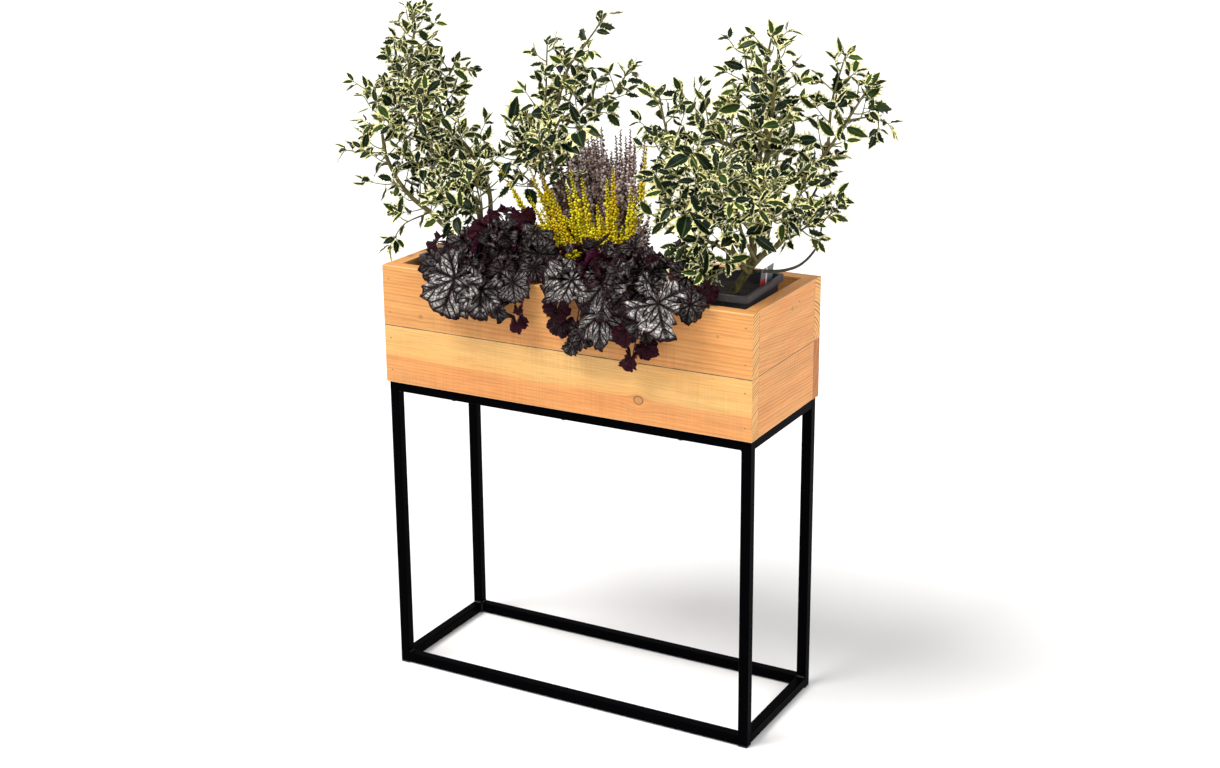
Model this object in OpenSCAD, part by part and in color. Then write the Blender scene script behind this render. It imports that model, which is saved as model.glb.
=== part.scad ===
// Raised timber planter on a welded square-tube stand, with potted shrubs standing in it.
// Origin: centre of the footprint on the floor. +X runs to the right, +Y to the back, +Z up.

/* [Timber box] */
// Outside length of the box
box_length = 800; // [780:5:860]
// Outside depth of the box, front to back
box_depth = 310; // [305:1:340]
// Thickness of the planed boards
board_thickness = 28; // [26:1:29]
// Height of the lower course of boards
lower_board_height = 118; // [110:1:130]
// Height of the upper course of boards
upper_board_height = 122; // [115:1:130]
// Radius of the eased long edges of a board
board_easing = 1.5; // [0.5:0.5:3]

/* [Steel stand] */
// Height of the welded stand above its glides
stand_height = 613; // [500:1:700]
// Outside width of the square tube
tube_width = 20; // [18:1:24]
// Wall thickness of the square tube
tube_wall = 1.5; // [1:0.5:2.5]
// Outside corner radius of the square tube
tube_radius = 2; // [1:0.5:3]
// How far the box overhangs the stand at each end
end_overhang = 3; // [0:1:8]
// How far the box overhangs the stand at front and back
side_overhang = 5; // [0:1:8]
// Thickness of the glide under each leg
glide_height = 3; // [2:1:6]
// Leg length of the fillet welds
weld_size = 2.5; // [1.5:0.5:4]

/* [Floor and cleats] */
// Height of the battens' underside above the bottom edge of the boards
floor_recess = 22; // [10:1:30]
// Height of the floor battens
batten_height = 20; // [15:1:30]
// Depth of the floor battens, out from the wall
batten_depth = 30; // [20:1:40]
// Thickness of the floor slats
slat_thickness = 18; // [15:1:22]
// Gap between floor slats, for drainage
slat_gap = 8; // [4:1:12]
// Number of floor slats
slat_count = 6; // [6]
// Width of the cleats that join the two courses
cleat_width = 40; // [30:1:50]
// Thickness of the cleats
cleat_thickness = 10; // [8:1:12]
// Length of the cleats
cleat_length = 140; // [120:1:160]

/* [Pots] */
// Rim width of the large square pot
large_pot = 190; // [180:1:195]
// Rim width of the medium square pot
medium_pot = 168; // [150:1:172]
// Rim width of the pots in the front row
front_pot = 125; // [110:1:126]
// Rim width of the pots in the back row
back_pot = 118; // [100:1:119]
// Height of the large pot
large_pot_height = 198; // [190:1:205]
// Height of the medium pot
medium_pot_height = 191; // [180:1:200]
// Height of the small pots
small_pot_height = 150; // [130:1:160]
// Width of a pot's base as a fraction of its rim
pot_taper = 0.76; // [0.7:0.01:0.85]
// Wall thickness of the pots
pot_wall = 1.5; // [1:0.1:2]
// Depth of the compost below the rim
compost_drop = 22; // [15:1:30]

/* [Plants] */
// Height of the tops of the shrubs above the floor
shrub_top = 1358; // [1300:1:1400]
// Largest radius of the right-hand shrub
right_crown_radius = 285; // [270:1:290]
// Largest radius of the left-hand shrub
left_crown_radius = 190; // [170:1:195]
// Largest radius of the shrub between them
middle_crown_radius = 140; // [120:1:142]
// Radius of the left-hand foliage mound
left_mound_radius = 115; // [100:1:118]
// Radius of the right-hand foliage mound
right_mound_radius = 128; // [110:1:130]

/* [Hidden] */

// Fineness of the small round parts
$fn = 48;

left = -1;
right = 1;
front = -1;
back = 1;

steel = [0.06, 0.06, 0.07];
plastic_black = [0.12, 0.12, 0.12];
pot_grey = [0.24, 0.24, 0.26];
larch = [0.91, 0.65, 0.38];
larch_light = [0.95, 0.73, 0.46];
raw_timber = [0.85, 0.70, 0.50];
zinc = [0.70, 0.70, 0.68];
peat = [0.12, 0.08, 0.06];
bark = [0.33, 0.29, 0.16];
holly_green = [0.45, 0.52, 0.33];
heuchera_purple = [0.24, 0.17, 0.22];
bud_yellow = [0.90, 0.78, 0.10];
bud_mauve = [0.58, 0.48, 0.50];
label_white = [0.93, 0.92, 0.90];

// Stand
stand_half_x = box_length / 2 - end_overhang;
stand_half_y = box_depth / 2 - side_overhang;
leg_x = stand_half_x - tube_width / 2;
leg_y = stand_half_y - tube_width / 2;
stand_top = glide_height + stand_height;
top_rail_z = stand_top - tube_width / 2;
bottom_rail_z = glide_height + tube_width / 2;
long_rail = 2 * (stand_half_x - tube_width);
short_rail = 2 * (stand_half_y - tube_width);
glide_clearance = 0.2;
glide_plug_length = 15;

// Box
course_z = [stand_top, stand_top + lower_board_height];
course_height = [lower_board_height, upper_board_height];
box_top = stand_top + lower_board_height + upper_board_height;
inner_half_x = box_length / 2 - board_thickness;
inner_half_y = box_depth / 2 - board_thickness;
batten_z = stand_top + floor_recess;
slat_z = batten_z + batten_height;
floor_z = slat_z + slat_thickness;
slat_clearance = 3;
slat_width = (2 * (inner_half_x - slat_clearance) - (slat_count - 1) * slat_gap) / slat_count;
slat_length = 2 * (inner_half_y - 2);
cleat_x = 200;
end_cleat_y = 95;

// Fasteners
nail_length = 60;
nail_radius = 0.9;
nail_head_radius = 1.4;
nail_head_height = 0.8;
nail_proud = 0.2;
board_nail_levels = [0.22, 0.78];
slat_nail_places = [-0.3, 0.3];
floor_nail_length = 32;
cleat_screw_places = [-0.25, 0.25];
cleat_screw_levels = [0.14, 0.88];
batten_screw_x = [-330, -110, 110, 330];
batten_screw_length = 36;
screw_length = 30;
screw_radius = 2;
screw_head_radius = 4;
screw_head_height = 2.5;
frame_screw_length = 45;
frame_screw_spacing = 250;
frame_screw_head = 3;
frame_screw_head_radius = 5;

// Pots: each row is x, y, yaw, rim width, height
pot_left = [-268, -18, -3, medium_pot, medium_pot_height];
pot_middle = [-115, 66, 0, back_pot, small_pot_height];
pot_right = [270, -24, 3, large_pot, large_pot_height];
pot_mound_left = [-105, -60.5, 1, front_pot, small_pot_height];
pot_mound_right = [72, -60.5, -1, front_pot, small_pot_height];
pot_heathers = [12, 66, 0, back_pot, small_pot_height];
pots = [pot_left, pot_middle, pot_right, pot_mound_left, pot_mound_right, pot_heathers];
pot_rim_height = 12;
pot_rim_lip = 5;
pot_base = 2;
pot_corner = 10;
drain_radius = 5;
compost_gap = 0.3;

// Plants
plant_gap = 1.5;
stem_embed = 45;
crown_embed = 12;
left_stem_foot = [-283, -12];
left_stem_knee = [-322, 2];
left_knee_height = 34;
left_knee_radius = 9;
left_stem_radii = [7, 6];
middle_stem_radius = 5;
right_stem_foot = [290, -29];
right_stem_radius = 10;
crown_foot_radii = [35, 25, 40];
mound_root_radius = 24;
left_crown = [-430, 20];
middle_crown = [-95, 95];
right_crown = [335, 0];
left_crown_z = [892, 1092, shrub_top - 12];
middle_crown_z = [1032, 1190, shrub_top - 4];
right_crown_z = [906, 1180, shrub_top];
left_mound = [-175, -95];
right_mound = [110, -105];
left_mound_z = [790, 980];
right_mound_z = [745, 955];
crown_arc_steps = 8;
split_y = 62;
heather_fork_z = 965;
heather_foot_radius = 34;
heather_neck_radius = 41;
heather_yellow_radius = 100;
heather_yellow_top = 1052;
heather_mauve_radius = 72;
heather_mauve_top = 1105;
mauve_shift = 6;
split_gap = 0.5;
label_size = [0.8, 62, 112];
label_offset = [72, 4];
label_depth = 62;
label_lean = 6;
label_turn = 3;

// A rectangle with true round corners, centred
module rounded_rect(size, radius) {
    square([size.x, size.y - 2 * radius], center = true);
    square([size.x - 2 * radius, size.y], center = true);
    for (sx = [-1, 1], sy = [-1, 1])
        translate([sx * (size.x / 2 - radius), sy * (size.y / 2 - radius)]) circle(radius);
}

// A length of square tube standing on the origin
module square_tube(length) {
    bore = tube_width - 2 * tube_wall;
    linear_extrude(length) difference() {
        rounded_rect([tube_width, tube_width], tube_radius);
        square([bore, bore], center = true);
    }
}

module leg(side, face) {
    color(steel) translate([side * leg_x, face * leg_y, glide_height]) square_tube(stand_height);
}

module rail_along_x(face, z) {
    color(steel) translate([-long_rail / 2, face * leg_y, z]) rotate([0, 90, 0]) square_tube(long_rail);
}

module rail_along_y(side, z) {
    color(steel) translate([side * leg_x, short_rail / 2, z]) rotate([90, 0, 0]) square_tube(short_rail);
}

// A three-cornered fillet weld of the given length along +Z, in the corner of +X and +Y
module fillet(length) {
    linear_extrude(length) polygon([[0, 0], [weld_size, 0], [0, weld_size]]);
}

// The three fillets in one corner of the stand; they lie on the side of the rail that faces inwards
module corner_welds(rail_face, inward) {
    inner_x = stand_half_x - tube_width;
    inner_y = stand_half_y - tube_width;
    seam = tube_width - 2 * tube_radius;
    for (side = [left, right], face = [front, back])
        mirror([side > 0 ? 1 : 0, 0, 0]) mirror([0, face > 0 ? 1 : 0, 0]) {
            translate([-inner_x, -inner_y, rail_face - inward * (tube_width - tube_radius)])
                mirror([0, 0, inward > 0 ? 0 : 1]) fillet(seam);
            translate([-inner_x, -inner_y - tube_radius, rail_face])
                mirror([0, 0, inward > 0 ? 0 : 1]) rotate([90, 0, 0]) fillet(seam);
            translate([-inner_x - tube_radius, -inner_y, rail_face])
                mirror([0, 0, inward > 0 ? 0 : 1]) rotate([90, 0, -90]) mirror([1, 0, 0]) fillet(seam);
        }
}

module welds_bottom() {
    color(steel) corner_welds(glide_height + tube_width, 1);
}

module welds_top() {
    color(steel) corner_welds(stand_top - tube_width, -1);
}

// Plastic inserts that close the legs and stand on the floor
module leg_glides() {
    plug = tube_width - 2 * tube_wall - 2 * glide_clearance;
    color(plastic_black) for (side = [left, right], face = [front, back])
        translate([side * leg_x, face * leg_y, 0]) {
            linear_extrude(glide_height) rounded_rect([tube_width, tube_width], tube_radius);
            linear_extrude(glide_height + glide_plug_length) rounded_rect([plug, plug], 1);
        }
}

// A planed board lying along +X, centred on x, its underside at z = 0
module board(length, height) {
    translate([-length / 2, 0, height / 2]) rotate([90, 0, 90])
        linear_extrude(length) rounded_rect([board_thickness, height], board_easing);
}

module long_board(face, course) {
    color(course == 0 ? larch_light : larch)
        translate([0, face * (box_depth - board_thickness) / 2, course_z[course]])
            board(box_length, course_height[course]);
}

module end_board(side, course) {
    color(larch) translate([side * (box_length - board_thickness) / 2, 0, course_z[course]])
        rotate([0, 0, 90]) board(2 * inner_half_y, course_height[course]);
}

module floor_batten(face) {
    color(raw_timber) translate([0, face * (inner_half_y - batten_depth / 2), batten_z + batten_height / 2])
        cube([2 * inner_half_x - 2, batten_depth, batten_height], center = true);
}

function slat_x(index) = -inner_half_x + slat_clearance + slat_width / 2 + index * (slat_width + slat_gap);

module floor_slat(index) {
    color(raw_timber) translate([slat_x(index), 0, slat_z + slat_thickness / 2])
        cube([slat_width, slat_length, slat_thickness], center = true);
}

// A flat strip inside the box that ties the lower course to the upper one
module cleat() {
    translate([-cleat_width / 2, -cleat_thickness, 0]) cube([cleat_width, cleat_thickness, cleat_length]);
}

// Puts its child against the inside of one wall: the child's back face is at y = 0
module on_wall(wall) {
    if (wall.z == 0) translate([wall.x, wall.y * inner_half_y, floor_z])
        rotate([0, 0, wall.y > 0 ? 0 : 180]) children();
    else translate([wall.z * inner_half_x, wall.y, floor_z]) rotate([0, 0, -90 * wall.z]) children();
}

// Each wall place is x, y or face, and the end it is on, with 0 for the front and back walls
cleat_places = [
    [-cleat_x, front, 0], [cleat_x, front, 0], [-cleat_x, back, 0], [cleat_x, back, 0],
    [0, end_cleat_y, left], [0, end_cleat_y, right]
];

module wall_cleat(index) {
    color(raw_timber) on_wall(cleat_places[index]) cleat();
}

// A nail along +Z with its head's top at z = 0, driven downwards
module nail(length) {
    translate([0, 0, -length]) cylinder(h = length, r = nail_radius);
    translate([0, 0, -nail_head_height]) cylinder(h = nail_head_height, r = nail_head_radius);
}

// A countersunk screw along +Z with its head flush at z = 0, driven downwards
module screw(length) {
    translate([0, 0, -length]) cylinder(h = length, r = screw_radius);
    translate([0, 0, -screw_head_height])
        cylinder(h = screw_head_height, r1 = screw_radius, r2 = screw_head_radius);
}

// Two nails through the end of each long board into the end board behind it
module corner_nails() {
    color(zinc) for (side = [left, right], face = [front, back], course = [0, 1], at = board_nail_levels)
        translate([side * (box_length - board_thickness) / 2, face * (box_depth / 2 + nail_proud),
                   course_z[course] + at * course_height[course]])
            rotate([face > 0 ? -90 : 90, 0, 0]) nail(nail_length);
}

// Four nails hold each slat to the battens
module floor_nails() {
    nail_y = inner_half_y - batten_depth / 2;
    color(zinc) for (index = [0 : slat_count - 1], face = [front, back], across = slat_nail_places)
        translate([slat_x(index) + across * slat_width, face * nail_y, floor_z])
            nail(floor_nail_length);
}

// Screws through the cleats and battens into the boards
module wall_screws() {
    color(zinc) {
        for (wall = cleat_places, across = cleat_screw_places, up = cleat_screw_levels)
            on_wall(wall) translate([across * cleat_width, -cleat_thickness, up * cleat_length])
                rotate([90, 0, 0]) screw(screw_length);
        for (x = batten_screw_x, face = [front, back])
            translate([x, face * (inner_half_y - batten_depth), batten_z + batten_height / 2])
                rotate([face > 0 ? 90 : -90, 0, 0]) screw(batten_screw_length);
    }
}

// Screws from below, through the top rails into the bottom edges of the boards
module frame_screws() {
    places = concat(
        [for (x = [-1, 0, 1], face = [front, back]) [x * frame_screw_spacing, face * leg_y]],
        [for (side = [left, right]) [side * leg_x, 0]]
    );
    color(steel) for (place = places)
        translate([place.x, place.y, stand_top - tube_width - frame_screw_head]) {
            cylinder(h = frame_screw_length, r = screw_radius);
            cylinder(h = frame_screw_head, r = frame_screw_head_radius);
        }
}

// A square block with round corners that widens upwards from base to rim
module tapered_block(base, rim, height) {
    linear_extrude(height, scale = rim / base) rounded_rect([base, base], pot_corner);
}

module place_pot(pot) {
    translate([pot.x, pot.y, floor_z]) rotate([0, 0, pot[2]]) children();
}

module pot(pot) {
    rim = pot[3];
    height = pot[4];
    body_top = rim - 2 * pot_rim_lip;
    body_base = rim * pot_taper;
    color(pot_grey) place_pot(pot) difference() {
        union() {
            tapered_block(body_base, body_top, height);
            translate([0, 0, height - pot_rim_height])
                linear_extrude(pot_rim_height) rounded_rect([rim, rim], pot_corner);
        }
        translate([0, 0, pot_base])
            tapered_block(body_base - 2 * pot_wall, body_top - 2 * pot_wall, height);
        for (sx = [-1, 1], sy = [-1, 1])
            translate([sx * body_base / 4, sy * body_base / 4, -1])
                cylinder(h = pot_base + 2, r = drain_radius);
    }
}

function compost_top(pot) = floor_z + pot[4] - compost_drop;

// Root balls, one to a pot
module compost() {
    color(peat) for (pot = pots) {
        depth = pot[4] - compost_drop - pot_base;
        base = pot[3] * pot_taper - 2 * (pot_wall + compost_gap);
        full = pot[3] - 2 * (pot_rim_lip + pot_wall + compost_gap);
        rim = base + (full - base) * depth / pot[4];
        place_pot(pot) translate([0, 0, pot_base]) tapered_block(base, rim, depth);
    }
}

// A round limb between two points
module limb(from, to, radius) {
    run = to - from;
    translate(from) rotate([0, acos(run.z / norm(run)), atan2(run.y, run.x)])
        cylinder(h = norm(run), r = radius);
}

module holly_left_stem() {
    foot = [left_stem_foot.x, left_stem_foot.y, compost_top(pot_left) - stem_embed];
    knee = [left_stem_knee.x, left_stem_knee.y, compost_top(pot_left) + left_knee_height];
    color(bark) {
        limb(foot, knee, left_stem_radii[0]);
        translate(knee) sphere(left_knee_radius);
        limb(knee, [left_crown.x, left_crown.y, left_crown_z[0] + crown_embed], left_stem_radii[1]);
    }
}

module holly_middle_stem() {
    color(bark) limb([pot_middle.x, pot_middle.y, compost_top(pot_middle) - stem_embed],
                     [middle_crown.x, middle_crown.y, middle_crown_z[0] + crown_embed], middle_stem_radius);
}

module holly_right_stem() {
    color(bark) limb([right_stem_foot.x, right_stem_foot.y, compost_top(pot_right) - stem_embed],
                     [right_crown.x, right_crown.y, right_crown_z[0] + crown_embed], right_stem_radius);
}

// A closed crown: a cone up to the widest level, and a round top above it
// levels holds the heights of the crown's foot, its widest place and its top
module crown(place, levels, foot_radius, radius) {
    rise = levels[2] - levels[1];
    profile = concat(
        [[0, levels[0]], [foot_radius, levels[0]]],
        [for (step = [0 : crown_arc_steps])
            [radius * cos(90 * step / crown_arc_steps), levels[1] + rise * sin(90 * step / crown_arc_steps)]]
    );
    translate([place.x, place.y, 0]) rotate_extrude() polygon(profile);
}

module holly_left_crown() {
    color(holly_green) crown(left_crown, left_crown_z, crown_foot_radii[0], left_crown_radius);
}

module holly_middle_crown() {
    color(holly_green) crown(middle_crown, middle_crown_z, crown_foot_radii[1], middle_crown_radius);
}

module holly_right_crown() {
    color(holly_green) crown(right_crown, right_crown_z, crown_foot_radii[2], right_crown_radius);
}

// A mound of leaves that spreads above the pots' rims and hangs down in front of the box
module mound(place, levels, radius, pot) {
    rim_z = floor_z + large_pot_height + plant_gap;
    hang_y = -box_depth / 2 - plant_gap;
    reach = 2 * radius;
    crown(place, [rim_z, rim_z, levels[1]], radius, radius);
    translate([pot.x, pot.y, compost_top(pot) - stem_embed])
        cylinder(h = rim_z - compost_top(pot) + stem_embed + 1, r = mound_root_radius);
    intersection() {
        translate([0, 0, 2 * rim_z]) mirror([0, 0, 1])
            crown(place, [rim_z - 1, rim_z, 2 * rim_z - levels[0]], radius, radius);
        translate([place.x - reach, hang_y - reach, levels[0] - 1]) cube([2 * reach, reach, reach]);
    }
}

module heuchera_left() {
    color(heuchera_purple) mound(left_mound, left_mound_z, left_mound_radius, pot_mound_left);
}

module heuchera_right() {
    color(heuchera_purple) mound(right_mound, right_mound_z, right_mound_radius, pot_mound_right);
}

// One half of a spreading tuft of flower spikes, in front of or behind the split between the two
module spike_fan(shift, radius, top, face) {
    foot = compost_top(pot_heathers) - stem_embed;
    reach = 300;
    profile = concat(
        [[0, foot], [heather_foot_radius, foot], [heather_neck_radius, box_top]],
        [for (step = [0 : crown_arc_steps])
            [radius * cos(90 * step / crown_arc_steps),
             heather_fork_z + (top - heather_fork_z) * sin(90 * step / crown_arc_steps)]]
    );
    intersection() {
        translate([pot_heathers.x + shift, split_y, 0]) rotate_extrude() polygon(profile);
        translate([-reach, face > 0 ? split_y + split_gap : split_y - split_gap - reach, 0])
            cube([2 * reach, reach, 2 * box_top]);
    }
}

module heather_yellow() {
    color(bud_yellow) spike_fan(0, heather_yellow_radius, heather_yellow_top, front);
}

module heather_mauve() {
    color(bud_mauve) spike_fan(mauve_shift, heather_mauve_radius, heather_mauve_top, back);
}

// A blank card stuck in the compost beside the large pot's rim
module plant_label() {
    color(label_white)
        translate([pot_right.x + label_offset.x, pot_right.y + label_offset.y,
                   compost_top(pot_right) - label_depth])
            rotate([0, label_lean, label_turn]) cube(label_size);
}

leg(left, front);  // leg_front_left
leg(right, front);  // leg_front_right
leg(left, back);  // leg_back_left
leg(right, back);  // leg_back_right
rail_along_x(front, top_rail_z);  // top_rail_front
rail_along_x(back, top_rail_z);  // top_rail_back
rail_along_y(left, top_rail_z);  // top_rail_left
rail_along_y(right, top_rail_z);  // top_rail_right
rail_along_x(front, bottom_rail_z);  // bottom_rail_front
rail_along_x(back, bottom_rail_z);  // bottom_rail_back
rail_along_y(left, bottom_rail_z);  // bottom_rail_left
rail_along_y(right, bottom_rail_z);  // bottom_rail_right
welds_top();
welds_bottom();
leg_glides();
long_board(front, 0);  // front_board_lower
long_board(front, 1);  // front_board_upper
long_board(back, 0);  // back_board_lower
long_board(back, 1);  // back_board_upper
end_board(left, 0);  // left_end_lower
end_board(left, 1);  // left_end_upper
end_board(right, 0);  // right_end_lower
end_board(right, 1);  // right_end_upper
floor_batten(front);  // floor_batten_front
floor_batten(back);  // floor_batten_back
floor_slat(0);  // floor_slat_1
floor_slat(1);  // floor_slat_2
floor_slat(2);  // floor_slat_3
floor_slat(3);  // floor_slat_4
floor_slat(4);  // floor_slat_5
floor_slat(5);  // floor_slat_6
wall_cleat(0);  // cleat_front_left
wall_cleat(1);  // cleat_front_right
wall_cleat(2);  // cleat_back_left
wall_cleat(3);  // cleat_back_right
wall_cleat(4);  // cleat_left_end
wall_cleat(5);  // cleat_right_end
corner_nails();
floor_nails();
wall_screws();
frame_screws();
pot(pot_left);  // pot_holly_left
pot(pot_middle);  // pot_holly_middle
pot(pot_right);  // pot_holly_right
pot(pot_mound_left);  // pot_heuchera_left
pot(pot_mound_right);  // pot_heuchera_right
pot(pot_heathers);  // pot_heather
compost();
holly_left_stem();
holly_middle_stem();
holly_right_stem();
holly_left_crown();
holly_middle_crown();
holly_right_crown();
heuchera_left();
heuchera_right();
heather_yellow();
heather_mauve();
plant_label();
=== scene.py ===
"""Looks for the raised timber planter: softwood boards, black steel stand, nursery pots and planting."""
import math

import bpy
import numpy as np
from mathutils import Matrix, Vector


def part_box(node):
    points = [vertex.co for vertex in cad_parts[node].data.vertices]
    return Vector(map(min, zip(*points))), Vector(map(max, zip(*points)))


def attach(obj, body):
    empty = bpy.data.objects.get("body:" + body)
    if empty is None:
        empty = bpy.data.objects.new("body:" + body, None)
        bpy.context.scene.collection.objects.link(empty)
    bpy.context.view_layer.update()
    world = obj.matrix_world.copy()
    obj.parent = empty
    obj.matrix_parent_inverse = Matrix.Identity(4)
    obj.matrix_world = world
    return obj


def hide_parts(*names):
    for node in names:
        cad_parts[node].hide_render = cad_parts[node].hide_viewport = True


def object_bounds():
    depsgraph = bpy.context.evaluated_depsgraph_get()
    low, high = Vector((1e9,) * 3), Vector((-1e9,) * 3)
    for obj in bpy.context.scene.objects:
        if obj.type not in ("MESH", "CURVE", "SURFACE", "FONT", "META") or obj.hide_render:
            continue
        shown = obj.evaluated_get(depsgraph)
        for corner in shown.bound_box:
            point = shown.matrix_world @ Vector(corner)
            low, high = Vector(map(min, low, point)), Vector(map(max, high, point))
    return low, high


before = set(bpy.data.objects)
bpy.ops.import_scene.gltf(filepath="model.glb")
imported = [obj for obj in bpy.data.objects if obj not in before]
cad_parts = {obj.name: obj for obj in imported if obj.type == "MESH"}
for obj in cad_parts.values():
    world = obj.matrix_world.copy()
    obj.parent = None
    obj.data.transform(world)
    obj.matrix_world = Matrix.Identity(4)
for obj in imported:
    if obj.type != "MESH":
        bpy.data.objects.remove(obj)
cad_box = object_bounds()

GOLDEN_ANGLE = math.radians(137.5)
UP = np.array([0.0, 0.0, 1.0])
YELLOW_SEED, MAUVE_SEED, HOLLY_LEAF_SEED, HEUCHERA_LEAF_SEED, COMPOST_SEED = 5, 6, 100, 300, 500


# ---------------------------------------------------------------- node trees

def sums(operation):
    """Two methods that write a sum: with the value before the other, and after it."""
    return (lambda value, other: value.tree.math(operation, value, other),
            lambda value, other: value.tree.math(operation, other, value))


class Value:
    """A node's output that can be used in sums."""

    def __init__(self, tree, socket):
        self.tree, self.socket = tree, socket

    __add__, __radd__ = sums("ADD")
    __sub__, __rsub__ = sums("SUBTRACT")
    __mul__, __rmul__ = sums("MULTIPLY")
    __truediv__, __rtruediv__ = sums("DIVIDE")
    __pow__, __rpow__ = sums("POWER")

    def __abs__(self):
        return self.tree.math("ABSOLUTE", self)


class Tree:
    """A short way to write a material's nodes."""

    def __init__(self, name):
        self.material = bpy.data.materials.new(name)
        self.material.use_nodes = True
        self.nodes = self.material.node_tree.nodes
        self.links = self.material.node_tree.links
        self.shader = self.nodes["Principled BSDF"]
        self.place, self.normal = self.node("TexCoord", {}, "Object"), self.node("TexCoord", {}, "Normal")

    def put(self, value, socket):
        if isinstance(value, Value):
            self.links.new(value.socket, socket)
        elif hasattr(value, "__len__") and socket.type == "RGBA":
            socket.default_value = (*value, 1.0)
        else:
            socket.default_value = value

    def set(self, **inputs):
        for name, value in inputs.items():
            self.put(value, self.shader.inputs[name.replace("_", " ")])

    def node(self, kind, inputs, output=0, **settings):
        """Makes a node and returns one of its outputs."""
        node = self.nodes.new("ShaderNode" + kind)
        for name, setting in settings.items():
            setattr(node, name, setting)
        for name, value in inputs.items():
            self.put(value, node.inputs[name])
        return Value(self, node.outputs[output])

    def math(self, operation, a, b=0.0):
        return self.node("Math", {0: a, 1: b, 2: 0.0}, operation=operation)

    def hypot(self, a, b):
        return self.math("SQRT", a ** 2.0 + b ** 2.0)

    def mix(self, share, a, b, blend="MIX"):
        return self.node("Mix", {0: share, 6: a, 7: b}, 2, data_type="RGBA", blend_type=blend)

    def ramp(self, share, stops):
        """stops are (place, grey)."""
        ramp = self.node("ValToRGB", {0: share})
        elements = ramp.socket.node.color_ramp.elements
        while len(elements) < len(stops):
            elements.new(0.5)
        for element, (place, grey) in zip(elements, stops):
            element.position = place
            element.color = (grey, grey, grey, 1.0)
        return ramp

    def darken(self, amount, colour, texture, low, high):
        """Multiplies by a grey ramp; low is (place, grey) and high the place where its effect ends."""
        return self.mix(amount, colour, self.ramp(texture, [low, (high, 1.0)]), "MULTIPLY")

    def step(self, value, low, high):
        """0 below low and 1 above high, smoothly; low may be above high."""
        return self.node("MapRange", {0: value, 1: low, 2: high, 3: 0.0, 4: 1.0},
                         interpolation_type="SMOOTHSTEP")

    def split(self, vector):
        first = self.node("SeparateXYZ", {0: vector})
        return [Value(self, output) for output in first.socket.node.outputs]

    def join(self, x, y, z):
        return self.node("CombineXYZ", {0: x, 1: y, 2: z})

    def scaled(self, place, by):
        return self.join(*(value * factor for value, factor in zip(place, by)))

    def noise(self, vector, scale, detail=2.0, roughness=0.5):
        return self.node("TexNoise", {"Vector": vector, "Scale": scale, "Detail": detail,
                                      "Roughness": roughness})

    def cells(self, vector, scale, feature="F1"):
        return self.node("TexVoronoi", {"Vector": vector, "Scale": scale}, feature=feature)

    def number(self, name):
        return self.node("Attribute", {}, "Fac", attribute_name=name)

    def backfacing(self):
        return self.node("NewGeometry", {}, "Backfacing")

    def bump(self, height, distance, strength=1.0):
        self.set(Normal=self.node("Bump", {"Height": height, "Distance": distance, "Strength": strength}))


# ---------------------------------------------------------------- timber

LATE_WOOD = [(0.0, 0.22), (0.22, 0.08), (0.60, 0.42), (0.86, 1.0), (0.93, 0.85), (1.0, 0.22)]
YELLOW_ENDS = ((0.86, 0.46, 0.17), (0.24, 0.080, 0.022))
REDDISH_ENDS = ((0.55, 0.22, 0.08), (0.22, 0.07, 0.025))
WHITE = (1.0, 1.0, 1.0)
JOINT_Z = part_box("front_board_lower")[1].z
CORNER_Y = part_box("right_end_upper")[1].y


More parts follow.
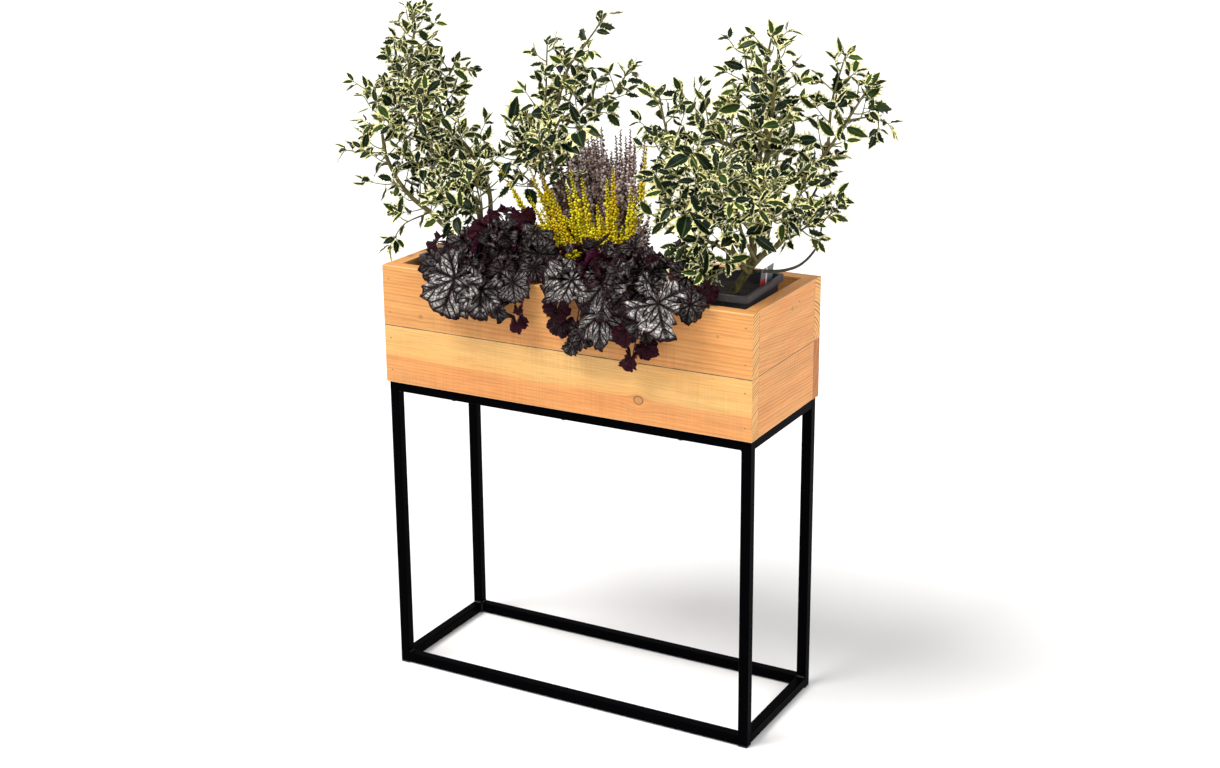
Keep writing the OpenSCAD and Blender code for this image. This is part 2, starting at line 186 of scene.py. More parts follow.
class Wood(Tree):
    """Softwood cut along its growth rings.
    lengthwise is 0 for a board along X and 1 for one along Y; seed makes each board its own."""

    def __init__(self, name, node, lengthwise, seed):
        super().__init__(name)
        low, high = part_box(node)
        centre = (low + high) / 2
        self.half = (high - low) / 2
        self.lengthwise, self.sideways, self.seed = lengthwise, 1 - lengthwise, seed
        self.x, self.y, self.z = self.split(self.place)
        self.along = (self.x, self.y)[self.lengthwise] - centre[self.lengthwise]
        self.side = (self.x, self.y)[self.sideways] - centre[self.sideways]
        self.height = self.z - centre.z
        self.facing = self.split(self.normal)
        slow = self.scaled((self.along, self.side, self.height), (2.2, 7.0, 7.0))
        self.slow = self.node("VectorMath", {0: slow, 1: (seed, seed * 1.7, seed * 0.6)})
        self.sway = self.noise(self.slow, 1.0, 3.0) - 0.5
        wavy = self.join(self.along * 16.0, self.side * 30.0, self.height + seed)
        self.ripple = self.noise(wavy, 1.0, 2.0) - 0.5

    def grow_knots(self, knots):
        """knots are (along, up, radius) from the board's centre. Returns the height as the grain bends
        round them, their wood and their dark rims."""
        bent, disc, rim = self.height, 0.0, 0.0
        for along, up, size in knots:
            off_along, off_up = self.along - along, self.height - up
            reach = self.hypot(off_along * 0.8, off_up)
            wobbled = reach + self.ripple * (size * 0.5)
            spread = (reach / (size * 2.6)) ** 2.0
            pull = self.math("EXPONENT", spread * -1.0)
            bent = bent - off_up * pull * 0.85
            disc = self.math("MAXIMUM", disc, self.step(wobbled, size, size * 0.85))
            outer = self.step(wobbled, size * 1.25, size)
            inner = self.step(wobbled, size * 0.72, size * 0.95)
            rim = self.math("MAXIMUM", rim, outer * inner)
        return bent, disc, rim

    def grow_rings(self, bent, pith, spacing, slope):
        """pith is the log's centre as (sideways, up) from the board's own centre, in metres. Returns the
        distance from it and how much of a place is late wood."""
        radius = self.hypot(self.side - pith[0] + self.sway * 0.008,
                            bent - pith[1] + self.along * slope)
        radius = radius + self.sway * 0.006
        phase = radius / spacing + self.ripple * 0.25
        whole = self.math("FLOOR", phase) + self.seed
        which = self.node("TexWhiteNoise", {"W": whole}, noise_dimensions="1D")
        late = self.ramp(self.math("FRACT", phase), LATE_WOOD)
        return radius, late * (which * 0.7 + 0.45)

    def face(self, radius, late, tones, sap, contrast):
        """The rings' colour; tones are early, late and sapwood, sap is where the sapwood starts."""
        early, dark, sap_tone = tones
        upright = 1.0 - self.step(abs(self.facing[2]), 0.6, 0.9) * 0.65
        ringed = late * upright * contrast
        colour = self.mix(ringed, early, dark)
        if sap is not None:
            edge = radius + self.sway * 0.02
            half_tone = tuple(0.5 * (a + b) for a, b in zip(sap_tone, dark))
            pale = self.mix(ringed * 0.8, sap_tone, half_tone)
            colour = self.mix(self.step(edge, sap - 0.006, sap + 0.006), colour, pale)
        blotch = self.noise(self.slow, 2.3, 3.0)
        warm = self.mix(self.step(blotch, 0.35, 0.70), WHITE, (1.0, 0.86, 0.74))
        return self.mix(0.65, colour, warm, "MULTIPLY")

    def fibres(self, colour, bent, fibre):
        """Streaks, threads and flecks along the grain, from wide to fine."""
        grain = (self.along, self.side, bent)
        streak = self.noise(self.scaled(grain, (3.0, 90.0, 90.0)), 1.0, 3.0)
        thread = self.noise(self.scaled(grain, (16.0, 300.0, 300.0)), 1.0, 4.0, 0.7)
        fleck = self.noise(self.scaled(grain, (70.0, 600.0, 600.0)), 1.0, 1.0)
        colour = self.darken(0.5, colour, streak, (0.30, 0.80), 0.62)
        colour = self.darken(0.6, colour, thread, (0.34, 0.74), 0.60)
        colour = self.darken(0.45, colour, fibre, (0.25, 0.68), 0.60)
        return self.mix(self.step(fleck, 0.73, 0.80) * 0.45, colour, (0.30, 0.13, 0.04))

    def knot_colour(self, colour, disc, rim):
        heart = self.ramp(self.ripple, [(0.3, 0.2), (0.6, 0.8)])
        wood = self.mix(heart, (0.42, 0.20, 0.07), (0.66, 0.36, 0.14))
        colour = self.mix(disc * 0.75, colour, wood)
        return self.mix(rim * 0.8, colour, (0.16, 0.07, 0.025))

    def sawn_ends(self, colour, late, end, tones):
        """The rings show as arcs on the ends; faint marks of the saw cross the faces."""
        pale, ring = tones
        cut = self.mix(self.step(late, 0.25, 0.80) * 0.90, pale, ring)
        speck = self.noise(self.place, 700.0, 3.0, 0.7)
        cut = self.darken(0.7, cut, speck, (0.30, 0.5), 0.55)
        colour = self.mix(end, colour, cut)
        mark = self.noise(self.scaled((self.along, self.side, self.height), (420.0, 6.0, 6.0)), 1.0, 1.0)
        area = self.step(self.noise(self.slow, 1.4, 1.0), 0.45, 0.62)
        share = area * (1.0 - end) * 0.5
        return self.darken(share, colour, mark, (0.35, 0.80), 0.60)

    def paint_edge_highlight_and_joint_shade(self, colour):
        """Painted highlight on the eased edges; painted shade in the course joint and corner seams."""
        # painted highlight: the eased edges of each face are paler
        edge_up = self.half.z - abs(self.height)
        edge_side = self.half[self.sideways] - abs(self.side)
        arris = self.step(edge_up, 0.0022, 0.0002) * self.step(edge_side, 0.0022, 0.0002)
        colour = self.mix(arris * 0.55, colour, (0.93, 0.66, 0.36))
        # painted shade: a dark, broken line where the two courses meet
        joint = abs(self.z - JOINT_Z)
        torn = self.noise(self.join(self.along * 34.0, self.side * 34.0, 0.0), 1.0, 3.0, 0.7)
        gap = self.step(joint, 0.0014 + self.step(torn, 0.38, 0.66) * 0.0010, 0.0003)
        # painted shade: a dark line on the end faces, in the seams where the long boards' end grain meets
        # the end boards
        corner = abs(abs(self.y) - CORNER_Y)
        frayed = self.noise(self.join(0.0, 0.0, self.z * 110.0), 1.0, 3.0, 0.7)
        slit = self.step(corner, 0.0002 + self.step(frayed, 0.45, 0.62) * 0.0015, 0.0001)
        end_face = self.step(abs(self.facing[0]), 0.80, 0.95)
        slit = slit * end_face
        gap = gap * (1.0 - end_face * 0.7)
        gap = self.math("MAXIMUM", gap, slit * 0.8)
        return self.mix(gap * 0.80, colour, (0.09, 0.034, 0.012))


def board_material(node, lengthwise, pith, spacing, tones, seed, knots=(), sap=None, contrast=0.6,
                   slope=0.012, ends=YELLOW_ENDS):
    t = Wood("wood_" + node, node, lengthwise, seed)
    bent, disc, rim = t.grow_knots(knots)
    radius, late = t.grow_rings(bent, pith, spacing, slope)
    fibre = t.noise(t.scaled((t.along, t.side, bent), (9.0, 900.0, 900.0)), 1.0, 3.0, 0.6)
    end = t.step(abs(t.facing[lengthwise]), 0.75, 0.95)
    colour = t.fibres(t.face(radius, late, tones, sap, contrast), bent, fibre)
    if knots:
        colour = t.knot_colour(colour, disc, rim)
    colour = t.paint_edge_highlight_and_joint_shade(t.sawn_ends(colour, late, end, ends))
    t.set(Base_Color=colour, Roughness=0.46 + (fibre + end) * 0.22, Specular_IOR_Level=0.35)
    relief = late * 0.35 + fibre * 0.65
    t.bump(relief + t.math("MULTIPLY", rim, -0.6), 0.0006, 0.6)
    return t.material


HONEY = ((0.828, 0.400, 0.127), (0.50, 0.175, 0.043), (0.88, 0.50, 0.175))
PALE = ((0.825, 0.370, 0.121), (0.54, 0.205, 0.054), (0.89, 0.515, 0.175))
PINK = ((0.870, 0.400, 0.125), (0.52, 0.185, 0.055), (0.90, 0.48, 0.17))
RAW = ((0.60, 0.40, 0.20), (0.42, 0.25, 0.11), (0.66, 0.46, 0.25))

# each board: direction, pith, ring spacing, tones, seed and what it has of its own
BOARDS = {
    "front_board_upper": (0, (0.050, -0.100), 0.0060, HONEY, 1.3, dict(
        contrast=0.47, knots=[(-0.313, -0.034, 0.0030), (0.331, 0.012, 0.0018)])),
    "front_board_lower": (0, (0.040, -0.092), 0.0050, PALE, 4.1, dict(
        contrast=0.46, knots=[(0.169, -0.013, 0.0075)], sap=0.100)),
    "back_board_upper": (0, (-0.060, -0.080), 0.0070, HONEY, 7.7, dict(
        knots=[(0.12, 0.02, 0.006), (-0.25, -0.01, 0.008)])),
    "back_board_lower": (0, (-0.080, 0.060), 0.0060, PINK, 9.2, dict(
        knots=[(-0.10, 0.01, 0.009)], ends=REDDISH_ENDS)),
    "right_end_upper": (1, (-0.040, -0.090), 0.0044, PINK, 12.4, dict(
        contrast=0.60, slope=0.08, knots=[(0.020, 0.030, 0.0025), (0.052, 0.036, 0.002)])),
    "right_end_lower": (1, (-0.050, -0.090), 0.0050, PINK, 15.8, dict(contrast=0.66, slope=0.05)),
    "left_end_upper": (1, (0.060, -0.080), 0.0064, HONEY, 18.1, dict(knots=[(0.05, -0.01, 0.006)])),
    "left_end_lower": (1, (0.065, -0.060), 0.0060, PALE, 21.5, dict(sap=0.090)),
}


def paint(node, material):
    """Gives a CAD node its finish."""
    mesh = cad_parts[node].data
    mesh.materials.clear()
    mesh.materials.append(material)


def paint_timber():
    for name, (*cut, own) in BOARDS.items():
        paint(name, board_material(name, *cut, **own))
    hidden = [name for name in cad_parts
              if name.startswith(("floor_", "cleat_")) and name != "floor_nails"]
    for index, name in enumerate(hidden):
        low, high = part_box(name)
        lengthwise = 0 if high.x - low.x > high.y - low.y else 1
        paint(name, board_material(name, lengthwise, (0.05, -0.03), 0.005, RAW, 30.0 + 3.1 * index))


# ---------------------------------------------------------------- metal and plastic

def steel_material():
    """Black powder coat with a fine texture, rubbed corners and a little dust low down."""
    t = Tree("black_powder_coat")
    z = t.split(t.place)[2]
    grain = t.noise(t.place, 1500.0, 2.0)
    cloud = t.noise(t.place, 14.0, 4.0)
    scuff = t.step(t.noise(t.place, 260.0, 3.0, 0.7), 0.66, 0.74)
    low_down = t.step(z, 0.10, 0.0)
    colour = t.mix(cloud, (0.0003, 0.0003, 0.0004), (0.0010, 0.0010, 0.0018))
    colour = t.mix(scuff * (0.02 + low_down * 0.12), colour, (0.16, 0.15, 0.14))
    t.set(Base_Color=colour, Roughness=0.30 + cloud * 0.16, Specular_IOR_Level=0.007)
    t.bump(grain, 0.00012, 0.5)
    return t.material


def weld_material():
    t = Tree("painted_weld")
    ripple = t.noise(t.place, 700.0, 3.0, 0.7)
    t.set(Base_Color=t.mix(t.step(ripple, 0.58, 0.78), (0.002, 0.002, 0.003), (0.05, 0.05, 0.05)),
          Roughness=0.30 + ripple * 0.3, Specular_IOR_Level=0.15)
    t.bump(ripple, 0.0008, 0.8)
    return t.material


def plastic_material(name, dark, light, roughness, dust):
    t = Tree(name)
    cloud = t.noise(t.place, 30.0, 4.0, 0.6)
    grain = t.noise(t.place, 1200.0, 2.0)
    colour = t.mix(cloud, dark, light)
    dusty = t.step(t.noise(t.place, 90.0, 5.0, 0.7), 0.52, 0.72) * dust
    colour = t.mix(dusty, colour, (0.16, 0.13, 0.10))
    t.set(Base_Color=colour, Roughness=roughness + cloud * 0.15, Specular_IOR_Level=0.4)
    t.bump(grain, 0.0002, 0.4)
    return t.material


def zinc_material():
    t = Tree("dulled_zinc")
    spangle = t.cells(t.place, 500.0)
    t.set(Base_Color=t.mix(spangle, (0.10, 0.085, 0.07), (0.26, 0.22, 0.18)), Metallic=0.8,
          Roughness=0.38 + spangle * 0.25)
    t.bump(t.noise(t.place, 900.0), 0.0001, 0.5)
    return t.material


def paint_hardware():
    steel, weld = steel_material(), weld_material()
    glide = plastic_material("glide_plastic", (0.008, 0.008, 0.009), (0.016, 0.016, 0.017), 0.45, 0.25)
    pot = plastic_material("recycled_pot_plastic", (0.022, 0.022, 0.026), (0.045, 0.045, 0.052), 0.42,
                           0.30)
    zinc = zinc_material()
    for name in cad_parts:
        if name.startswith(("leg_", "top_rail", "bottom_rail")) and name != "leg_glides":
            paint(name, steel)
        elif name.startswith("welds"):
            paint(name, weld)
        elif name.startswith("pot_"):
            paint(name, pot)
        elif name in ("corner_nails", "floor_nails", "wall_screws", "frame_screws"):
            paint(name, zinc)
    paint("leg_glides", glide)


# ---------------------------------------------------------------- mesh building

class Builder:
    """Collects vertices, faces and per-point numbers, and makes one mesh of them."""

    def __init__(self, *numbers):
        self.points, self.faces, self.slots = [], [], []
        self.numbers = {name: [] for name in numbers}
        self.count = 0

    def add(self, points, faces, slot=0, **numbers):
        self.points.append(np.asarray(points, float))
        self.faces.extend(tuple(i + self.count for i in face) for face in faces)
        self.slots.extend([slot] * len(faces))
        for name, store in self.numbers.items():
            value = numbers.get(name, 0.0)
            store.append(np.broadcast_to(np.asarray(value, float), (len(points),)))
        self.count += len(points)

    def make(self, name, materials):
        mesh = bpy.data.meshes.new(name)
        mesh.from_pydata(np.concatenate(self.points).tolist(), [], self.faces)
        for attribute, store in self.numbers.items():
            layer = mesh.attributes.new(attribute, "FLOAT", "POINT")
            layer.data.foreach_set("value", np.concatenate(store).astype(np.float32))
        for material in materials:
            mesh.materials.append(material)
        mesh.polygons.foreach_set("material_index", self.slots)
        mesh.polygons.foreach_set("use_smooth", [True] * len(mesh.polygons))
        mesh.validate()
        obj = bpy.data.objects.new(name, mesh)
        bpy.context.scene.collection.objects.link(obj)
        return obj


def box_of(node):
    """The two corners of a CAD node's box."""
    return tuple(np.array(corner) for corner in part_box(node))


def unit(v):
    v = np.asarray(v, float)
    return v / max(np.linalg.norm(v), 1e-9)


def smooth_path(points, per_span=6):
    """Catmull-Rom curve through the points."""
    p = [np.asarray(q, float) for q in points]
    p = [2 * p[0] - p[1]] + p + [2 * p[-1] - p[-2]]
    out = []
    for i in range(1, len(p) - 2):
        for k in range(per_span):
            u = k / per_span
            out.append(0.5 * (2 * p[i] + (p[i + 1] - p[i - 1]) * u
                              + (2 * p[i - 1] - 5 * p[i] + 4 * p[i + 1] - p[i + 2]) * u * u
                              + (3 * p[i] - p[i - 1] - 3 * p[i + 1] + p[i + 2]) * u ** 3))
    out.append(p[-2])
    return np.array(out)


def tube(builder, path, start_radius, end_radius, sides=7, slot=0, bumpy=0.0, **numbers):
    """A closed tapering tube along a path."""
    path = np.asarray(path, float)
    n = len(path)
    tangents = np.gradient(path, axis=0)
    normal = unit(np.cross(unit(tangents[0]), [0.3, 0.5, 0.8]))
    points = []
    for i in range(n):
        t = unit(tangents[i])
        normal = unit(normal - t * normal.dot(t))
        other = np.cross(t, normal)
        radius = start_radius + (end_radius - start_radius) * i / (n - 1)
        for k in range(sides):
            a = 2 * math.pi * k / sides
            r = radius * (1 + bumpy * math.sin(7.3 * i + 2.1 * k))
            points.append(path[i] + r * (math.cos(a) * normal + math.sin(a) * other))
    faces = []
    for i in range(0, (n - 1) * sides, sides):
        for k in range(sides):
            after = (k + 1) % sides
            faces.append((i + k, i + after, i + sides + after, i + sides + k))
    faces.append(tuple(reversed(range(sides))))
    faces.append(tuple((n - 1) * sides + k for k in range(sides)))
    builder.add(points, faces, slot, **numbers)


def along(path, share):
    """Point and direction at a share of a path's length."""
    steps = np.linalg.norm(np.diff(path, axis=0), axis=1)
    total = np.concatenate([[0], np.cumsum(steps)])
    want = share * total[-1]
    i = int(np.clip(np.searchsorted(total, want) - 1, 0, len(path) - 2))
    u = (want - total[i]) / max(steps[i], 1e-9)
    return path[i] + (path[i + 1] - path[i]) * u, unit(path[i + 1] - path[i])


def around(direction, angle, reference):
    """A direction square to another, turned about it from a reference."""
    first = unit(np.cross(direction, reference))
    return math.cos(angle) * first + math.sin(angle) * np.cross(direction, first)


def turned(points, forward, side, face):
    """Points of a template laid along three directions."""
    return points[:, :1] * forward + points[:, 1:2] * side + points[:, 2:3] * face


def grid(rows, columns):
    """Faces between rows of points."""
    return [(r * columns + c, (r + 1) * columns + c, (r + 1) * columns + c + 1, r * columns + c + 1)
            for r in range(rows - 1) for c in range(columns - 1)]


def length_of(path):
    return float(np.linalg.norm(np.diff(path, axis=0), axis=1).sum())


# ---------------------------------------------------------------- holly

HOLLY_ROWS = 16
HOLLY_ACROSS = (-1.0, -0.74, -0.38, 0.0, 0.38, 0.74, 1.0)
HOLLY_LEAF_KINDS = 12
YOUNG_BARK = 1
STEM_LEAF_SPACING, TWIG_LEAF_SPACING = 0.024, 0.0180
# leaves stay inside a superellipsoid a little larger than the crown's box, open at the bottom
ROUNDNESS, CROWN_EDGE, OPEN_BOTTOM = 3.2, 1.03, 0.05


def holly_template(kind):
    """A spiny leaf of length 1 along +X, its face up +Z; margin is 0 on the midrib and 1 at the edge."""
    random = np.random.default_rng(HOLLY_LEAF_SEED + kind)
    spiny = random.uniform(0.35, 1.0)
    fold = random.uniform(0.10, 0.75)
    twist = random.uniform(-0.5, 0.5)
    droop = random.uniform(0.03, 0.36)
    half_width = random.uniform(0.235, 0.30)
    points, margin, run = [], [], []
    for row in range(HOLLY_ROWS):
        share = row / (HOLLY_ROWS - 1)
        width = half_width * math.sin(math.pi * min(1.0, 0.03 + share ** 0.92)) ** 0.72
        place = row % 3
        reach_here = (0.74, 0.86, 1.0 + 0.52 * spiny)[place]
        flip = 1 if (row // 3) % 2 == 0 else -1
        for across in HOLLY_ACROSS:
            edge = abs(across)
            reach = width * across
            forward = share
            lift = fold * abs(reach) - droop * share * share + 0.02 * math.sin(9 * share)
            if edge == 1.0:
                reach *= reach_here
                if place == 2:
                    forward += 0.055 * spiny
                    lift += flip * 0.075 * spiny
                else:
                    lift -= flip * 0.03 * spiny
            lift += twist * reach * share
            points.append((forward, reach, lift))
            margin.append(edge)
            run.append(share)
    faces = grid(HOLLY_ROWS, len(HOLLY_ACROSS))
    return np.array(points), faces, np.array(margin), np.array(run)


def holly_leaf_material():
    """Dark glossy green with an uneven cream margin; old leaves are darker and young ones yellower."""
    t = Tree("variegated_holly_leaf")
    margin, run = t.number("margin"), t.number("run")
    leaf, young = t.number("leaf"), t.number("young")
    blot = t.noise(t.place, 150.0, 3.0)
    fine = t.noise(t.place, 420.0, 3.0)
    edge = margin + (blot - 0.5) * 0.40
    edge = edge + (leaf - 0.5) * 0.20
    edge = edge + young * 0.09
    cream_share = t.step(edge, 0.77, 0.83)
    half_share = t.step(edge, 0.62, 0.68) * 0.22
    mottle = t.ramp(fine, [(0.3, 0.0), (0.7, 1.0)])
    green = t.mix(mottle, (0.0012, 0.0060, 0.0028), (0.0060, 0.0200, 0.0080))
    green = t.mix(young * t.step(leaf, 0.55, 0.95), green, (0.045, 0.095, 0.012))
    grey_green = t.mix(leaf, (0.022, 0.060, 0.024), (0.060, 0.110, 0.035))
    cream = t.mix(leaf, (1.0, 0.97, 0.64), (1.0, 0.92, 0.38))
    colour = t.mix(half_share, green, grey_green)
    colour = t.mix(cream_share, colour, cream)
    rib = t.step(margin, 0.10, 0.02)
    colour = t.mix(rib * 0.30, colour, (0.20, 0.26, 0.08))
    back = t.backfacing()
    pale_back = back * (0.35 - cream_share * 0.33)
    colour = t.mix(pale_back, colour, (0.060, 0.090, 0.030))
    tip = t.step(run * margin, 0.93, 1.0)
    colour = t.mix(tip * 0.5, colour, (0.25, 0.16, 0.05))
    t.set(Base_Color=colour, Roughness=0.24 + fine * 0.22, Specular_IOR_Level=0.15)
    t.bump(fine + rib * -0.6, 0.0005, 0.5)
    return t.material


def bark_material(name, dark, light):
    t = Tree(name)
    x, y, z = t.split(t.place)
    stretched = t.join(x, y, z * 0.35)
    cloud = t.noise(stretched, 120.0, 4.0, 0.6)
    pore = t.step(t.noise(t.place, 600.0, 2.0), 0.62, 0.70)
    colour = t.mix(t.ramp(cloud, [(0.35, 0.0), (0.65, 1.0)]), dark, light)
    colour = t.mix(pore * 0.5, colour, (0.36, 0.30, 0.18))
    t.set(Base_Color=colour, Roughness=0.5 + cloud * 0.3)
    t.bump(cloud + pore * 0.5, 0.0016, 0.8)
    return t.material


class Shrub:
    """A holly grown from listed stems, with side twigs and leaves by rule."""

    def __init__(self, node, seed, big_leaf, small_leaf):
        self.low, self.high = box_of(node)
        self.random = np.random.default_rng(seed)
        self.wood = Builder()
        self.foliage = Builder("margin", "run", "leaf", "young")
        self.big, self.small = big_leaf, small_leaf
        self.templates = [holly_template(kind) for kind in range(HOLLY_LEAF_KINDS)]

    def at(self, point):
        """A point given as hundredths of the crown's box."""
        return self.low + (self.high - self.low) * (np.array(point) / 100)

    def within(self, point):
        """True inside the crown's rounded outline."""
        share = np.abs(2 * (point - self.low) / (self.high - self.low) - 1)
        if point[2] <= self.low[2] + OPEN_BOTTOM:
            share[2] = 0.0
        return share[0] ** ROUNDNESS + share[1] ** ROUNDNESS + share[2] ** ROUNDNESS < CROWN_EDGE

    def leaf(self, base, outward, size, young, facing=None):
        random = self.random
        stalk = size * 0.16
        if facing is None and not self.within(base + unit(outward) * size * 0.8):
            return
        forward = unit(outward + random.normal(0, 0.22, 3) - UP * random.uniform(0.0, 0.25))
        face = UP * 0.8 + np.array([0.15, -0.55, 0.0]) + random.normal(0, 0.70, 3)
        if facing is not None:
            face = np.array(facing) + random.normal(0, 0.12, 3)
        face = unit(face - forward * np.dot(face, forward))
        side = np.cross(face, forward)
        points, faces, margin, run = self.templates[random.integers(len(self.templates))]
        start = base + forward * stalk
        broad = points * [1, random.uniform(0.85, 1.15), 1]
        placed = start + size * turned(broad, forward, side, face)
        tint = random.random() if facing is None else 0.75
        self.foliage.add(placed, faces, 0, margin=margin, run=run, leaf=tint, young=young)
        stalk_end = start + forward * size * 0.02
        tube(self.foliage, [base, stalk_end], 0.0008, 0.0007, 4, 1, leaf=0.5, young=1.0)

    def dress(self, path, start, size_from, size_to, spacing, tip_leaves=3):
        """Leaves in a spiral along a path, from a share of its length to its tip."""
        length = length_of(path) * (1 - start)
        count = max(1, int(length / spacing))
        turn = self.random.uniform(0, 2 * math.pi)
        for i in range(count + tip_leaves):
            share = min(1.0, start + (1 - start) * (i + 0.5) / count)
            point, direction = along(path, share)
            turn += GOLDEN_ANGLE
            outward = around(direction, turn, (0.21, 0.38, 0.9))
            lean = 0.55 if i < count else 1.3
            size = (size_from + (size_to - size_from) * share) * self.random.uniform(0.72, 1.18)
            if i >= count:
                size *= 0.85
            young = float(np.clip(share * 0.7 + self.random.uniform(-0.3, 0.3), 0, 1))
            self.leaf(point, outward + direction * lean, size, young)

    def stem(self, points, radius, tip_radius, bare, twigs, twig_length, bark):
        """A main stem through points given as hundredths of the crown's box."""
        path = smooth_path([self.at(p) for p in points])
        tube(self.wood, path, radius, tip_radius, 8, bark, 0.06)
        self.dress(path, max(bare, 0.35), self.big * 0.85, self.small, STEM_LEAF_SPACING)
        turn = self.random.uniform(0, 2 * math.pi)
        for i in range(twigs):
            share = bare + (1 - bare) * (i + 0.4) / twigs
            point, direction = along(path, share)
            turn += GOLDEN_ANGLE
            outward = around(direction, turn, (0.2, 0.4, 0.9))
            reach = twig_length * (1.15 - 0.55 * share) * self.random.uniform(0.65, 1.2)
            self.twig(point, unit(outward + direction * 0.55), reach, share)

    def twig(self, start, direction, reach, share):
        bend = unit(direction + UP * 0.35 + self.random.normal(0, 0.15, 3))
        knee = start + direction * reach * 0.45
        path = smooth_path([start, knee, knee + bend * reach * 0.55], 4)
        tube(self.wood, path, 0.0017, 0.0009, 6, YOUNG_BARK)
        big = self.big + (self.small - self.big) * share
        self.dress(path, 0.22, big, big * 0.78, TWIG_LEAF_SPACING)

    def spread_leaves(self, root, showing, spread):
        """Large leaves on short stalks, their faces to the front."""
        for *place, size in showing:
            start = self.at(place) * (1 - spread) + self.at(root) * spread
            outward = self.at(place) - start
            path = [start, start + 0.5 * outward, start + outward]
            tube(self.wood, path, 0.0018, 0.0010, 6, YOUNG_BARK)
            self.leaf(start + outward, outward, size / 1000, 0.0, (0.35, -0.85, 0.55))

    def make(self, name, leaf_material, barks, body, crown_node, stem_node):
        wood = self.wood.make(name + "_branches", barks)
        leaves = self.foliage.make(name + "_leaves", [leaf_material, barks[YOUNG_BARK]])
        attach(wood, body)
        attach(leaves, body)
        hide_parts(stem_node)
        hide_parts(crown_node)


# Each stem: its bark (0 olive, 2 dark), its radius at the foot and at the tip in tenths of a millimetre,
# its bare share in hundredths, how many twigs it has and their length in millimetres, and then its points
# in hundredths of the crown's box. Big leaves: place in hundredths of the box, length in millimetres.
LEFT_STEMS = (
    (0, 62, 26, 36, 20, 68, (89, 42, -20), (79, 42, -2), (65, 42, 8), (51, 41, 16), (44, 38, 25),
     (39, 37, 35), (38, 36, 45), (36, 34, 64)),
    (0, 22, 12, 20, 1, 20, (38, 37, 35), (30, 33, 35), (20, 29, 36)),
    (0, 18, 10, 30, 2, 30, (62, 42, 9), (54, 30, 5), (48, 26, -4)),
    (0, 62, 20, 38, 38, 75, (89, 42, -20), (92, 45, 10), (68, 50, 28), (49, 55, 42), (41, 58, 65),
     (45, 58, 83), (46, 58, 94)),
    (0, 54, 22, 34, 27, 76, (89, 42, -20), (99, 45, 13), (85, 55, 32), (58, 66, 47), (53, 70, 58),
     (62, 71, 72)),
    (0, 30, 12, 10, 10, 65, (49, 55, 42), (60, 40, 52), (68, 34, 64)),
    (0, 30, 12, 10, 11, 65, (44, 58, 50), (30, 72, 62), (24, 80, 74)),
    (0, 30, 12, 25, 11, 65, (94, 45, 4), (90, 34, 14), (76, 30, 22)),
    (0, 30, 12, 25, 11, 65, (94, 45, 2), (96, 40, 16), (92, 40, 30)))
MIDDLE_STEMS = (
    (0, 50, 14, 44, 14, 70, (43, 40, -75), (28, 40, -14), (22, 43, 10), (26, 45, 35), (28, 46, 74)),
    (0, 36, 14, 12, 5, 30, (27, 43, 10), (43, 45, 57), (56, 45, 73), (74, 47, 94)),
    (0, 34, 13, 15, 10, 55, (31, 43, 17), (56, 55, 39), (71, 59, 45), (84, 62, 60)),
    (0, 28, 13, 30, 7, 50, (27, 42, -20), (14, 42, -10), (0, 46, -4)),
    (0, 28, 13, 30, 7, 52, (27, 42, -12), (40, 50, -6), (50, 60, 3)),
    (0, 30, 13, 20, 7, 55, (27, 42, -6), (12, 32, 8), (8, 30, 26)),
    (0, 30, 13, 20, 7, 65, (27, 42, -2), (36, 22, 10), (40, 14, 26)),
    (0, 30, 13, 20, 7, 65, (26, 45, 12), (30, 75, 40), (32, 82, 60)))
MIDDLE_BIG_LEAVES = (
    (12, 40, 30, 70), (17, 34, 22, 62), (32, 36, 16, 66), (46, 30, 20, 62), (60, 30, 26, 66),
    (20, 30, 34, 62), (34, 24, 24, 60), (6, 34, 26, 58))
